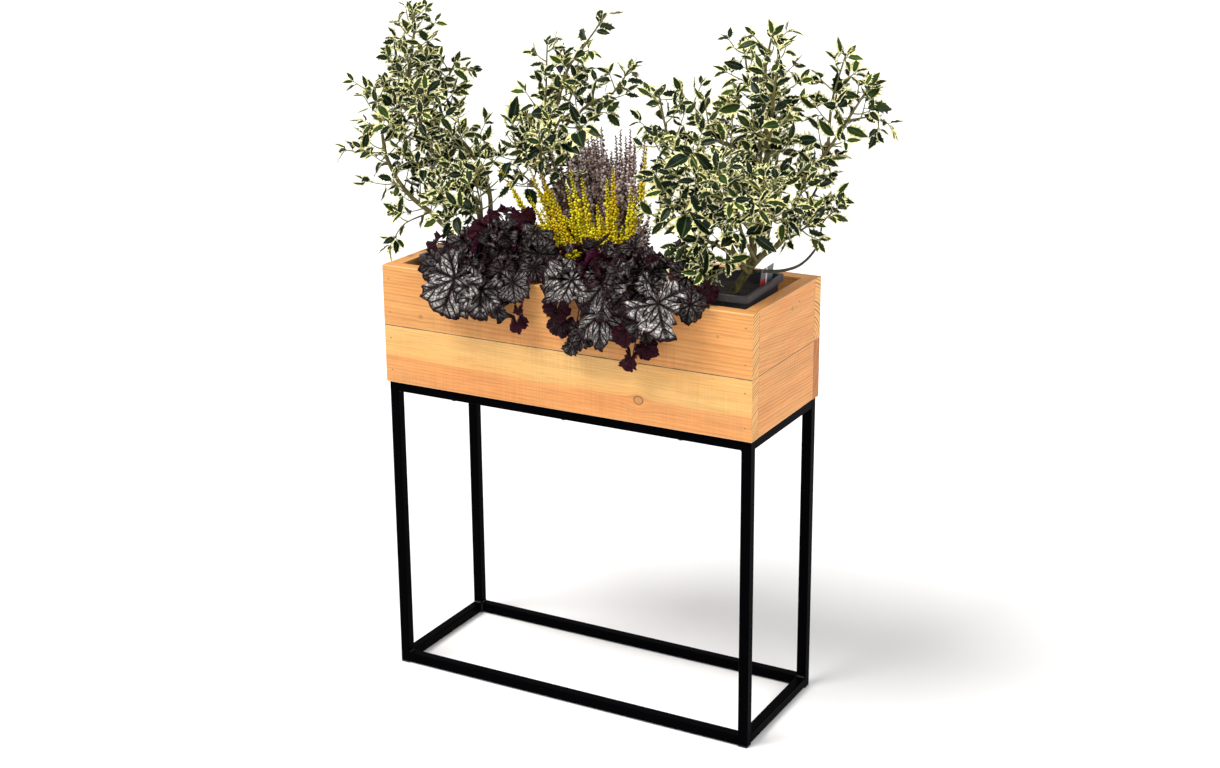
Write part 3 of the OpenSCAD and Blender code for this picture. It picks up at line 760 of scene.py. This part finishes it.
RIGHT_STEMS = (
    (0, 90, 18, 50, 11, 52, (42, 45, -16), (47, 46, -5), (52, 48, 4), (59, 50, 12), (64, 54, 34),
     (72, 57, 50), (83, 60, 74)),
    (0, 30, 13, 20, 7, 45, (71, 57, 50), (72, 57, 68), (76, 57, 86)),
    (0, 20, 12, 20, 2, 30, (76, 58, 60), (84, 59, 62), (90, 59, 60)),
    (0, 72, 16, 26, 20, 80, (49, 47, -3), (51, 50, 23), (53, 50, 46), (52, 50, 77), (54, 50, 93)),
    (0, 62, 16, 26, 15, 80, (49, 46, -3), (46, 41, 7), (42, 34, 27), (38, 31, 39), (29, 30, 52),
     (25, 30, 70)),
    (0, 56, 15, 30, 12, 75, (50, 48, 2), (42, 54, 41), (31, 57, 49), (23, 61, 58), (17, 60, 66)),
    (2, 34, 13, 84, 1, 30, (50, 47, -2), (60, 50, -1), (66, 52, 3), (70, 54, 11), (71, 54, 19),
     (75, 55, 25)),
    (0, 30, 13, 30, 6, 45, (58, 50, 10), (65, 47, 16), (71, 46, 21)),
    (0, 36, 13, 35, 8, 62, (54, 48, 8), (59, 42, 24), (64, 38, 38)),
    (0, 36, 13, 35, 8, 56, (57, 50, 12), (65, 58, 27), (69, 62, 42)),
    (0, 34, 13, 35, 5, 45, (51, 46, 0), (44, 36, 5), (40, 30, 1)),
    (0, 40, 14, 40, 10, 65, (51, 50, 25), (47, 57, 60), (42, 60, 72), (40, 60, 86)),
    (0, 38, 14, 40, 8, 65, (52, 50, 27), (58, 43, 68), (60, 42, 88)),
    (0, 44, 14, 34, 10, 62, (50, 46, 0), (43, 37, 10), (34, 32, 16), (27, 34, 24), (22, 38, 32)),
    (0, 42, 14, 34, 11, 70, (49, 46, 2), (42, 36, 22), (35, 31, 34), (27, 35, 42), (19, 42, 50)),
    (0, 40, 14, 40, 7, 70, (52, 45, 3), (52, 34, 18), (54, 26, 34)),
    (0, 42, 14, 40, 8, 70, (52, 48, 10), (52, 25, 32), (54, 12, 48)),
    (0, 40, 14, 40, 7, 65, (55, 46, 10), (61, 28, 30), (65, 22, 44)),
    (0, 42, 14, 35, 9, 75, (52, 52, 12), (46, 74, 38), (42, 86, 56)),
    (0, 40, 14, 35, 8, 75, (48, 52, 14), (30, 76, 40), (23, 80, 50)))
RIGHT_BIG_LEAVES = (
    (33, 31, 36, 62), (37, 28, 35, 66), (36, 28, 25, 66), (28, 34, 28, 58), (46, 27, 17, 64),
    (53, 28, 18, 62), (60, 34, 24, 60), (36, 30, 16, 62), (24, 38, 34, 56), (35, 34, 5, 54),
    (40, 30, -2, 56), (44, 30, 2, 54), (47, 24, 42, 56), (40, 22, 50, 56), (56, 24, 36, 58),
    (68, 45, 20, 58))
# side, seed, longest and shortest leaf in metres, stems, where the big leaves' stalks start, big leaves
HOLLIES = (
    ("left", 21, 0.052, 0.034, LEFT_STEMS, (0, 0, 0), ()),
    ("middle", 35, 0.058, 0.032, MIDDLE_STEMS, (27, 45, 10), MIDDLE_BIG_LEAVES),
    ("right", 57, 0.056, 0.035, RIGHT_STEMS, (50, 46, 2), RIGHT_BIG_LEAVES))
STALK_START = 0.4


def grow_hollies():
    leaf_material = holly_leaf_material()
    barks = [bark_material("olive_bark", (0.048, 0.042, 0.010), (0.20, 0.165, 0.046)),
             bark_material("young_green_bark", (0.11, 0.13, 0.026), (0.34, 0.32, 0.095)),
             bark_material("dark_bark", (0.020, 0.020, 0.010), (0.085, 0.075, 0.035))]
    for side, seed, big, small, stems, root, big_leaves in HOLLIES:
        name = "holly_" + side
        shrub = Shrub(name + "_crown", seed, big, small)
        for bark, foot, tip, bare, twigs, reach, *points in stems:
            shrub.stem(points, foot / 10000, tip / 10000, bare / 100, twigs, reach / 1000, bark)
        shrub.spread_leaves(root, big_leaves, STALK_START)
        shrub.make(name, leaf_material, barks, "planting", name + "_crown", name + "_stem")


# ---------------------------------------------------------------- heuchera

LOBES = 7
LEAF_SPREAD = math.radians(330)
HEUCHERA_ACROSS = 77
HEUCHERA_RINGS = 11
HEUCHERA_LEAF_KINDS = 9
BOARD_CLEARANCE = 0.004


def heuchera_template(kind):
    """A ruffled palmate leaf of radius about 1: stalk at the origin, tip along +X, face up +Z."""
    random = np.random.default_rng(HEUCHERA_LEAF_SEED + kind)
    ruffle = random.uniform(0.15, 0.32)
    fold = random.uniform(-0.10, 0.30)
    waves = random.integers(3, 7)
    phase = random.uniform(0, 6.28)
    dome = random.uniform(0.10, 0.36)
    notch_depth = random.uniform(0.10, 0.20)
    lobe_angle = LEAF_SPREAD / LOBES
    points, margin, run, aside = [], [], [], []
    for a in range(HEUCHERA_ACROSS + 1):
        angle = LEAF_SPREAD * (a / HEUCHERA_ACROSS - 0.5)
        from_lobe = (angle / lobe_angle + 0.5) % 1.0 - 0.5
        notch = (2 * abs(from_lobe)) ** 4
        crenel = 0.5 + 0.5 * math.cos(2 * math.pi * 4 * from_lobe)
        outline = (0.90 + 0.10 * math.cos(angle)) * (1 - notch_depth * notch) * (0.95 + 0.05 * crenel)
        for r in range(HEUCHERA_RINGS + 1):
            share = r / HEUCHERA_RINGS
            radius = outline * share ** 0.9
            vein = math.exp(-(from_lobe * 9) ** 2)
            z = -dome * radius ** 2 + fold * abs(radius * math.sin(angle))
            z += ruffle * share ** 2 * math.sin(waves * angle + phase)
            z += (0.09 * share ** 3 * math.sin(17 * angle + phase * 2)
                  - 0.045 * vein * share * (1 - 0.4 * share))
            z += 0.035 * share * math.sin(13 * radius + 5 * from_lobe) * (1 - vein)
            points.append((radius * math.cos(angle), radius * math.sin(angle), z))
            margin.append(share)
            run.append(radius * math.cos(from_lobe * lobe_angle))
            aside.append(radius * abs(math.sin(from_lobe * lobe_angle)))
    n = HEUCHERA_RINGS + 1
    faces = [(a * n + r, a * n + r + 1, (a + 1) * n + r + 1, (a + 1) * n + r)
             for a in range(HEUCHERA_ACROSS) for r in range(1, HEUCHERA_RINGS)]
    faces += [(a * n, a * n + 1, (a + 1) * n + 1) for a in range(HEUCHERA_ACROSS)]
    return np.array(points), faces, np.array(margin), np.array(run), np.array(aside)


def heuchera_leaf_material():
    """Silver between near-black veins, with a dark rim; undersides and young leaves are burgundy."""
    t = Tree("silver_veined_leaf")
    margin, run, aside = t.number("margin"), t.number("run"), t.number("aside")
    leaf, young = t.number("leaf"), t.number("young")
    plane = t.join(run, aside, leaf * 7.0)
    wander = (t.noise(plane, 5.0, 2.0) - 0.5) * 0.16
    main = t.step(aside + wander * 0.25, 0.016, 0.066)
    slant = run - aside * 1.35
    branch = t.math("FRACT", slant * 4.6 + wander)
    branch = abs(branch - 0.5)
    second = t.step(branch, 0.46, 0.29)
    net = t.step(t.cells(plane, 12.0, "DISTANCE_TO_EDGE"), 0.02, 0.14)
    silver = main * second * (0.30 + net * 0.70)
    silver = silver * t.step(margin + wander, 0.98, 0.84)
    silver = silver * t.step(young, 0.85, 0.35)
    tone = t.noise(plane, 3.0, 2.0)
    shine = t.ramp(leaf, [(0.0, 0.03), (0.35, 0.15), (0.65, 0.40), (1.0, 0.74)])
    bright = t.mix(shine, (0.036, 0.024, 0.028), (0.86, 0.80, 0.76))
    # painted shade: a darker copy of the silver, laid over noise patches of each leaf
    shaded = t.mix(shine, (0.008, 0.003, 0.005), (0.17, 0.15, 0.14))
    bright = t.mix(t.ramp(tone, [(0.38, 0.0), (0.58, 0.95)]), bright, shaded)
    burgundy = t.mix(main * net, (0.012, 0.0012, 0.0036), (0.046, 0.0040, 0.0135))
    dark = t.mix(young, (0.0052, 0.0013, 0.0022), burgundy)
    colour = t.mix(silver, dark, bright)
    rim = t.step(margin, 0.90, 0.99) * 0.6
    colour = t.mix(rim, colour, (0.030, 0.004, 0.010))
    back = t.backfacing()
    underside = t.mix(main * net, (0.016, 0.002, 0.006), (0.14, 0.020, 0.062))
    colour = t.mix(back * 0.9, colour, underside)
    t.set(Base_Color=colour, Roughness=0.20 + tone * 0.2, Specular_IOR_Level=0.10)
    t.bump(silver + net * 0.4, 0.0034, 1.0)
    return t.material


def stalk_material():
    t = Tree("burgundy_stalk")
    cloud = t.noise(t.place, 160.0, 3.0)
    t.set(Base_Color=t.mix(cloud, (0.030, 0.006, 0.010), (0.10, 0.022, 0.028)),
          Roughness=0.4 + cloud * 0.2)
    t.bump(cloud, 0.0004, 0.5)
    return t.material


class Mound:
    """A heuchera: leaves on long stalks that spread from the pot and hang over the front board."""

    def __init__(self, node, pot, seed):
        self.low, self.high = box_of(node)
        pot_low, pot_high = box_of(pot)
        pot_middle = (pot_low + pot_high) / 2
        self.root = np.array([pot_middle[0], pot_middle[1], pot_high[2] - 0.02])
        self.random = np.random.default_rng(seed)
        self.mesh = Builder("margin", "run", "aside", "leaf", "young")
        self.templates = [heuchera_template(kind) for kind in range(HEUCHERA_LEAF_KINDS)]
        board_low, board_high = box_of("front_board_upper")
        self.rim = board_high[2] + BOARD_CLEARANCE
        self.front = board_low[1] - BOARD_CLEARANCE
        self.inner = board_high[1] + BOARD_CLEARANCE

    def rest_on_box(self, points):
        """Lifts what would be inside the front board over its top edge, or brings it out in front."""
        in_wall = (points[:, 1] > self.front) & (points[:, 1] < self.inner) & (points[:, 2] < self.rim)
        near_face = in_wall & (self.rim - points[:, 2] > 0.02)
        points[near_face, 1] = self.front
        points[in_wall & ~near_face, 2] = self.rim
        return points

    def leaf(self, place, outward, face, size, young, silver):
        random = self.random
        face = unit(face)
        forward = unit(outward - face * np.dot(outward, face))
        side = np.cross(face, forward)
        points, faces, margin, run, aside = self.templates[random.integers(len(self.templates))]
        placed = self.rest_on_box(place + size * turned(points, forward, side, face))
        self.mesh.add(placed, faces, 0, margin=margin, run=run, aside=aside, leaf=silver, young=young)
        middle = self.root + (place - self.root) * 0.5 + UP * 0.03
        start = self.root + random.normal(0, 0.010, 3) * np.array([1, 1, 0])
        below = place - face * 0.004
        points_through = [start, middle, below]
        if place[2] < self.rim:
            over = np.array([place[0] + 0.012, self.front - 0.003, self.rim + 0.006])
            points_through = [start, self.root + (over - self.root) * 0.5 + UP * 0.02, over, below]
        path = self.rest_on_box(smooth_path(points_through, 5))
        tube(self.mesh, path, 0.0022, 0.0014, 6, 1, leaf=0.5, young=1.0)

    def at(self, point):
        return self.low + (self.high - self.low) * (np.array(point) / 100)

    def make(self, name, leaf_material, stalk, body, node):
        piece = self.mesh.make(name, [leaf_material, stalk])
        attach(piece, body)
        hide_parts(node)


# each showing leaf: place in hundredths of the mound's box, radius in millimetres, and in hundredths how
# silvery and how young it is
LEFT_LEAVES = (
    (36, 10, 44, 60, 85, 0), (60, 11, 38, 48, 80, 0), (73, 36, 62, 36, 60, 0), (51, 36, 64, 30, 70, 0),
    (69, 56, 76, 38, 75, 0), (83, 63, 80, 34, 50, 0), (31, 68, 84, 26, 10, 100),
    (38, 75, 90, 22, 5, 100), (10, 36, 64, 30, 15, 50), (-2, 40, 66, 22, 10, 70),
    (32, 24, 56, 36, 55, 0), (37, 35, 64, 30, 40, 10), (42, 8, 33, 20, 5, 90), (34, 10, 18, 20, 15, 40),
    (74, 11, 26, 30, 55, 0), (98, 42, 66, 34, 55, 0), (100, 30, 58, 30, 45, 10),
    (95, 10, 14, 18, 5, 100), (97, 9, 26, 11, 5, 90), (28, 54, 76, 30, 15, 40), (75, 22, 54, 26, 20, 30),
    (62, 71, 86, 28, 50, 10), (59, 50, 74, 34, 55, 0), (24, 44, 70, 34, 50, 0), (88, 16, 46, 34, 50, 0),
    (14, 22, 50, 36, 60, 0), (48, 20, 52, 34, 60, 0), (61, 78, 90, 24, 10, 90), (50, 84, 88, 26, 50, 10))
RIGHT_LEAVES = (
    (49, 26, 62, 60, 100, 0), (20, 28, 61, 56, 85, 0), (50, 18, 36, 50, 88, 0), (96, 18, 54, 58, 92, 0),
    (104, 46, 72, 40, 70, 0), (120, 20, 56, 30, 55, 0), (26, 18, 4, 19, 60, 0), (74, 18, -1, 22, 5, 100),
    (86, 18, 12, 22, 5, 90), (71, 16, 24, 24, 5, 80), (14, 17, 36, 24, 5, 80), (17, 18, 22, 24, 5, 60),
    (12, 55, 82, 34, 55, 10), (24, 62, 86, 28, 40, 20), (54, 63, 86, 30, 35, 40),
    (72, 55, 80, 18, 5, 90), (78, 44, 72, 30, 50, 0), (84, 32, 64, 32, 65, 0), (66, 27, 58, 32, 55, 0),
    (64, 46, 74, 30, 35, 20), (90, 63, 84, 32, 45, 10), (124, 38, 64, 20, 10, 80),
    (4, 32, 64, 34, 60, 0), (42, 52, 80, 32, 30, 50), (75, 18, 50, 26, 25, 20), (84, 18, 34, 32, 60, 0),
    (36, 18, 16, 28, 55, 0))
SHOWING_SCALE = 1.25
MOUNDS = (("heuchera_left", 71, LEFT_LEAVES, 0.92), ("heuchera_right", 83, RIGHT_LEAVES, 1.0))
FILLERS = 60
FILLER_SILVER = (0.28, 0.52)
FILLER_RADIUS = (0.034, 0.052)


def grow_mounds():
    leaf_material, stalk = heuchera_leaf_material(), stalk_material()
    for node, seed, showing, sheen in MOUNDS:
        mound = Mound(node, "pot_" + node, seed)
        middle = (mound.low + mound.high) / 2
        half = (mound.high - mound.low) / 2
        centre = np.array([middle[0], middle[1], mound.rim + 0.01])
        random = mound.random
        for *place, size, silver, young in showing:
            place = mound.at(place)
            away = (place - centre) / half
            if place[2] < mound.rim + 0.01 and place[1] < mound.front:
                face = np.array([0.1, -1.0, 0.55]) + random.normal(0, 0.25, 3)
                droop = 1.4
            else:
                face = away * 0.6 + np.array([0.20, -0.55, 0.65]) + random.normal(0, 0.22, 3)
                droop = 0.6
            outward = away * [1, 1, 0] + np.array([0, -0.3, -droop]) + random.normal(0, 0.25, 3)
            radius = size / 1000 * SHOWING_SCALE
            mound.leaf(place, outward, face, radius, young / 100, silver / 100 * sheen)
        top = mound.high[2] - centre[2] - 0.030
        for i in range(FILLERS):
            share = (i + 0.5) / FILLERS
            turn = i * GOLDEN_ANGLE
            rise = 1.0 - 0.95 * share
            flat = math.sqrt(max(0.0, 1 - rise * rise))
            direction = np.array([math.cos(turn) * flat, math.sin(turn) * flat, rise])
            tucked = 0.52 if direction[1] < 0.1 else 0.78
            reach = np.array([half[0] * tucked, half[1] * tucked, top])
            place = centre + direction * reach * random.uniform(0.70, 0.98)
            face = direction + UP * 0.35 + random.normal(0, 0.38, 3)
            outward = direction * [1, 1, 0] - UP * (0.2 + 0.7 * share) + random.normal(0, 0.3, 3)
            silver = float(FILLER_SILVER[0] + random.random() * FILLER_SILVER[1]) * sheen
            radius = random.uniform(*FILLER_RADIUS)
            mound.leaf(place, outward, face, radius, float(random.random() ** 3), silver)
        mound.make(node + "_leaves", leaf_material, stalk, "planting", node)


# ---------------------------------------------------------------- heather

BUD = np.array([(0.05, 0, 0), (0.45, 0.42, 0), (0.45, 0, 0.42), (0.45, -0.42, 0), (0.45, 0, -0.42),
                (1.05, 0.10, 0)])
BUD_FACES = [(0, 1, 2), (0, 2, 3), (0, 3, 4), (0, 4, 1), (5, 2, 1), (5, 3, 2), (5, 4, 3), (5, 1, 4)]

# where the yellow spikes end, in millimetres from the middle of the pot's rim; low ones stand in front
YELLOW_TIPS = (
    (-232, -60, 205), (-205, -75, 185), (-170, -55, 215), (-148, -50, 210), (-158, -80, 165),
    (-130, -85, 145), (-112, -90, 128), (-96, -80, 138), (-120, -60, 180), (-76, -60, 224),
    (-68, -45, 165), (-56, -50, 205), (-46, -85, 120), (-36, -70, 142), (-14, -65, 158), (2, -55, 208),
    (0, -80, 140), (13, -50, 232), (16, -75, 162), (32, -80, 138), (50, -45, 195), (63, -55, 180),
    (46, -75, 125), (76, -30, 275), (-80, -90, 105), (-20, -90, 108), (20, -90, 108), (-140, -70, 120),
    (-100, -70, 95), (-60, -90, 95), (-40, -70, 115), (0, -85, 100), (34, -90, 100), (-118, -88, 100),
    (64, -80, 110), (-90, -50, 185))
MAUVE_SPIKES = 40
# the few short stems at the mauve plant's right, in metres from the middle of the pot's rim
SHORT_TIPS = ((0.075, -0.06, 0.15), (0.095, -0.05, 0.17), (0.105, -0.07, 0.13), (0.085, -0.08, 0.12))
# bud length in metres, pitch of the buds, bare share of the stem
YELLOW_SPIKE = (0.0094, 0.23, 0.20)
MAUVE_SPIKE = (0.0102, 0.23, 0.16)
SHORT_SPIKE = (0.0080, 0.24, 0.40)
# painted shade on random buds, buds, the brightest buds, bottom of the spike
YELLOWS = ((0.52, 0.40, 0.008), (1.0, 0.93, 0.030), (1.0, 0.64, 0.014), (0.50, 0.60, 0.030))
MAUVES = ((0.080, 0.044, 0.038), (0.42, 0.29, 0.270), (0.84, 0.72, 0.69), (0.12, 0.095, 0.048))
SIDE_SHOOTS = 2


def bud_material(name, shade, main, other, base):
    t = Tree(name)
    bud, height, tint = t.number("bud"), t.number("height"), t.number("tint")
    fine = t.noise(t.place, 500.0, 2.0)
    # painted shade: buds with a low random number take the dark shade colour
    colour = t.mix(t.ramp(bud, [(0.05, 0.0), (0.45, 1.0)]), shade, main)
    rare = t.step(bud + tint * 0.6, 0.85, 1.15)
    colour = t.mix(rare * 0.85, colour, other)
    colour = t.mix(t.step(height, 0.30, 0.0) * 0.8, colour, base)
    t.set(Base_Color=t.darken(0.3, colour, fine, (0.3, 0.6), 0.7),
          Roughness=0.5 + fine * 0.2, Specular_IOR_Level=0.2)
    t.bump(fine, 0.0004, 0.5)
    return t.material


def flower(mesh, random, path, start, bud_size, pitch, tint):
    """Packs a path with buds, smaller at its tip; pitch is their spacing as a share of their size."""
    buds = max(3, int(length_of(path) * (1 - start) / (bud_size * pitch)))
    for k in range(buds):
        share = start + (1 - start) * (k + 0.5) / buds
        point, direction = along(path, share)
        outward = around(direction, k * GOLDEN_ANGLE + tint * 6, (0.3, 0.2, 0.9))
        forward = unit(outward + direction * random.uniform(0.4, 0.9))
        other = unit(np.cross(direction, forward))
        third = np.cross(forward, other)
        size = bud_size * (1.0 - 0.6 * max(0.0, share - 0.7) / 0.3) * random.uniform(0.75, 1.2)
        points = point + size * turned(BUD, forward, other, third)
        height = (share - start) / (1 - start)
        mesh.add(points, BUD_FACES, 0, bud=random.random(), height=height, tint=tint)


def heather_spike(mesh, random, foot, tip, bud_size, pitch, bare):
    """A stem that leans out and then rises, in bud above its bare share, with short side shoots."""
    knee = foot + (tip - foot) * [0.55, 0.55, 0.38]
    path = smooth_path([foot, knee, tip], 8)
    tint = random.random()
    tube(mesh, path, 0.0016, 0.0008, 5, 1, bud=0.2)
    flower(mesh, random, path, bare, bud_size, pitch, tint)
    for _ in range(SIDE_SHOOTS):
        point, direction = along(path, random.uniform(bare, 0.70))
        aside = unit(random.normal(0, 1, 3) * [1, 1, 0.2])
        reach = random.uniform(0.020, 0.036)
        middle = point + (direction * 0.6 + aside * 0.5) * reach * 0.5
        shoot = smooth_path([point, middle, point + (direction * 1.2 + aside * 0.4) * reach], 4)
        tube(mesh, shoot, 0.0010, 0.0006, 4, 1, bud=0.2)
        flower(mesh, random, shoot, 0.15, bud_size * 0.85, pitch, tint)


def finish_heather(mesh, name, node, colours, twig):
    piece = mesh.make(name, [bud_material(name + "_buds", *colours), twig])
    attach(piece, "planting")
    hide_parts(node)


def grow_heathers():
    twig = bark_material("heather_twig", (0.05, 0.035, 0.02), (0.12, 0.09, 0.05))
    pot_low, pot_high = box_of("pot_heather")
    middle = (pot_low + pot_high) / 2
    root = np.array([middle[0], middle[1], pot_high[2]])

    random = np.random.default_rng(YELLOW_SEED)
    yellow = Builder("bud", "height", "tint")
    for tip in np.array(YELLOW_TIPS) / 1000:
        foot = root + [np.clip(tip[0] * 0.25, -0.045, 0.045), -0.035 + 0.02 * random.random(), -0.012]
        heather_spike(yellow, random, foot, root + tip, *YELLOW_SPIKE)
    finish_heather(yellow, "heather_yellow_spikes", "heather_yellow", YELLOWS, twig)

    random = np.random.default_rng(MAUVE_SEED)
    mauve = Builder("bud", "height", "tint")
    for i in range(MAUVE_SPIKES):
        across = (i + 0.5) / MAUVE_SPIKES
        depth = (i * 0.618) % 1.0
        lean = -0.175 + 0.225 * across
        tall = 0.295 - 1.9 * (lean + 0.03) ** 2 - 0.075 * random.random() ** 2
        tip = root + [lean, -0.035 + 0.085 * depth, tall]
        foot = root + [np.clip(lean * 0.25, -0.04, 0.04), -0.005 + 0.045 * depth, -0.012]
        heather_spike(mauve, random, foot, tip, *MAUVE_SPIKE)
    for tip in SHORT_TIPS:
        heather_spike(mauve, random, root + [0.03, -0.02, -0.012], root + tip, *SHORT_SPIKE)
    finish_heather(mauve, "heather_mauve_spikes", "heather_mauve", MAUVES, twig)


# ---------------------------------------------------------------- compost and label

def compost_material():
    t = Tree("peaty_compost")
    lump = t.noise(t.place, 160.0, 5.0, 0.7)
    fleck = t.step(t.noise(t.place, 420.0, 2.0), 0.68, 0.74)
    colour = t.mix(lump, (0.006, 0.004, 0.003), (0.035, 0.022, 0.014))
    colour = t.mix(fleck * 0.6, colour, (0.20, 0.15, 0.09))
    t.set(Base_Color=colour, Roughness=0.8 + lump * 0.15)
    t.bump(t.noise(t.place, 300.0, 5.0, 0.7), 0.003, 0.9)
    return t.material


def pot_pose(name):
    """Yaw and half width of a square pot's rim, and its middle, from its outline."""
    points = np.array([v.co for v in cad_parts[name].data.vertices])
    rim = points[points[:, 2] > points[:, 2].max() - 0.001][:, :2]
    middle = (rim.max(axis=0) + rim.min(axis=0)) / 2

    def reach(yaw):
        return np.abs((rim - middle) @ np.array([math.cos(yaw), math.sin(yaw)])).max()

    yaw = min(np.radians(np.arange(-10, 10.1, 0.25)), key=reach)
    return float(yaw), float(reach(yaw)), middle


# compost: rows to a side, and in metres the pot's wall, how far its top is below the rim, the floor's
# thickness, the size of the lumps and the height of the heap; the taper is the bottom's share of the rim
COMPOST_STEPS = 26
POT_WALL = 0.0075
COMPOST_DROP = 0.022
POT_TAPER = 0.74
POT_FLOOR = 0.003
LUMPS, HEAP = 0.0028, 0.004
CORNER_ROUNDING = 14


def lay_compost():
    """One block of compost to a pot: its sides follow the pot's taper and its top is crumbly."""
    mesh = Builder()
    steps = COMPOST_STEPS
    n = steps + 1
    pots = sorted(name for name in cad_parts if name.startswith("pot_"))
    for index, name in enumerate(pots):
        low, high = box_of(name)
        yaw, half, middle = pot_pose(name)
        half -= POT_WALL
        lumps = np.random.default_rng(COMPOST_SEED + index).normal(0, 1, (n, n))
        lumps = (lumps + np.roll(lumps, 1, 0) + np.roll(lumps, 1, 1) + np.roll(lumps, 1, (0, 1))) / 4
        cosine, sine = math.cos(yaw), math.sin(yaw)
        top = []
        for i in range(n):
            for j in range(n):
                u, v = 2 * i / steps - 1, 2 * j / steps - 1
                x = half * u * math.sqrt(1 - v * v / CORNER_ROUNDING)
                y = half * v * math.sqrt(1 - u * u / CORNER_ROUNDING)
                z = high[2] - COMPOST_DROP + LUMPS * lumps[i, j] + HEAP * (1 - max(abs(u), abs(v)) ** 2)
                top.append((middle[0] + x * cosine - y * sine, middle[1] + x * sine + y * cosine, z))
        faces = grid(n, n)
        ring = ([i * n for i in range(steps)] + [steps * n + j for j in range(steps)]
                + [(steps - i) * n + steps for i in range(steps)] + [steps - j for j in range(steps)])
        bottom = [(middle[0] + (top[k][0] - middle[0]) * POT_TAPER,
                   middle[1] + (top[k][1] - middle[1]) * POT_TAPER, low[2] + POT_FLOOR) for k in ring]
        first = len(top)
        count = len(ring)
        for k in range(count):
            after = (k + 1) % count
            faces.append((ring[k], first + k, first + after, ring[after]))
        faces.append(tuple(first + k for k in reversed(range(count))))
        mesh.add(top + bottom, faces)
    piece = mesh.make("compost_blocks", [compost_material()])
    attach(piece, "planting")
    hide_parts("compost")


def label_material():
    """A blank slate-coloured card with a pale edge and a plain red corner."""
    t = Tree("plant_card")
    _, y, z = t.split(t.place)
    low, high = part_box("plant_label")
    up = (z - low.z) / (high.z - low.z)
    across = (y - low.y) / (high.y - low.y)
    slant = across + up * 0.25
    red = t.step(slant, 0.62, 0.60) * t.step(up, 0.84, 0.82)
    stripe = t.step(slant, 0.60, 0.62) * t.step(slant, 0.74, 0.72)
    fibre = t.noise(t.place, 700.0, 2.0)
    cloud = t.noise(t.place, 60.0, 3.0)
    colour = t.mix(cloud, (0.050, 0.062, 0.085), (0.15, 0.17, 0.20))
    colour = t.mix(red, colour, (0.36, 0.035, 0.030))
    colour = t.mix(stripe, colour, (0.74, 0.66, 0.66))
    t.set(Base_Color=t.darken(0.2, colour, fibre, (0.3, 0.7), 0.7),
          Roughness=0.30 + fibre * 0.2)
    t.bump(fibre, 0.0001, 0.4)
    return t.material


# ---------------------------------------------------------------- studio

FLOOR_REACH = 40.0
WORLD_LIGHT = 0.60
# name, direction it comes from, angle of the source in degrees, strength, colour
SUNS = (("key", (-0.35, -0.50, 0.95), 30.0, 2.9, (1.0, 0.985, 0.96)),
        ("fill", (0.85, -0.35, 0.55), 40.0, 1.05, (0.95, 0.97, 1.0)))
CAMERA_PLACE = (1.716, -3.059, 1.754)
CAMERA_YAW, CAMERA_PITCH, CAMERA_ROLL = -0.505, 0.279, -0.008
FOCAL_LENGTH_PX, PHOTO_WIDTH_PX = 1869.0, 1220.0
SENSOR_MM = 36.0
CAMERA_SHIFT_Y = -0.05
CLIP_END = 200.0


def floor_material():
    t = Tree("pale_floor")
    cloud = t.noise(t.place, 0.8, 3.0)
    t.set(Base_Color=t.mix(cloud, (0.86, 0.86, 0.86), (0.90, 0.90, 0.90)), Roughness=0.7 + cloud * 0.1)
    return t.material


def add_sun(name, toward, angle, strength, colour):
    data = bpy.data.lights.new(name, "SUN")
    data.angle = math.radians(angle)
    data.energy = strength
    data.color = colour
    light = bpy.data.objects.new(name, data)
    light.rotation_euler = Vector(toward).to_track_quat("Z", "Y").to_euler()
    bpy.context.scene.collection.objects.link(light)


def build_studio():
    mesh = bpy.data.meshes.new("floor")
    corners = [(x * FLOOR_REACH, y * FLOOR_REACH, 0) for x, y in ((-1, -1), (1, -1), (1, 1), (-1, 1))]
    mesh.from_pydata(corners, [], [(0, 1, 2, 3)])
    mesh.materials.append(floor_material())
    floor = bpy.data.objects.new("floor", mesh)
    floor.location.z = cad_box[0].z
    bpy.context.scene.collection.objects.link(floor)
    world = bpy.data.worlds.new("studio")
    bpy.context.scene.world = world
    world.use_nodes = True
    background = world.node_tree.nodes["Background"]
    background.inputs[0].default_value = (1.0, 1.0, 1.0, 1.0)
    background.inputs[1].default_value = WORLD_LIGHT
    for sun in SUNS:
        add_sun(*sun)
    bpy.context.scene.view_settings.view_transform = "Standard"


def build_camera():
    """The photograph's view: from front right, a little above the rim, with a small vertical shift."""
    yaw, pitch, roll = CAMERA_YAW, CAMERA_PITCH, CAMERA_ROLL
    forward = Vector((math.sin(yaw) * math.cos(pitch), math.cos(yaw) * math.cos(pitch), -math.sin(pitch)))
    flat_right = Vector((math.cos(yaw), -math.sin(yaw), 0.0))
    flat_up = flat_right.cross(forward)
    right = math.cos(roll) * flat_right + math.sin(roll) * flat_up
    up = -math.sin(roll) * flat_right + math.cos(roll) * flat_up
    data = bpy.data.cameras.new("camera")
    data.sensor_width = SENSOR_MM
    data.lens = FOCAL_LENGTH_PX / PHOTO_WIDTH_PX * SENSOR_MM
    data.shift_y = CAMERA_SHIFT_Y
    data.clip_end = CLIP_END
    camera = bpy.data.objects.new("camera", data)
    rotation = Matrix((right, up, -forward)).transposed().to_4x4()
    camera.matrix_world = Matrix.Translation(CAMERA_PLACE) @ rotation
    bpy.context.scene.collection.objects.link(camera)
    bpy.context.scene.camera = camera


build_camera()
build_studio()
paint_timber()
paint_hardware()
paint("plant_label", label_material())
lay_compost()
grow_hollies()
grow_mounds()
grow_heathers()

bpy.context.view_layer.update()
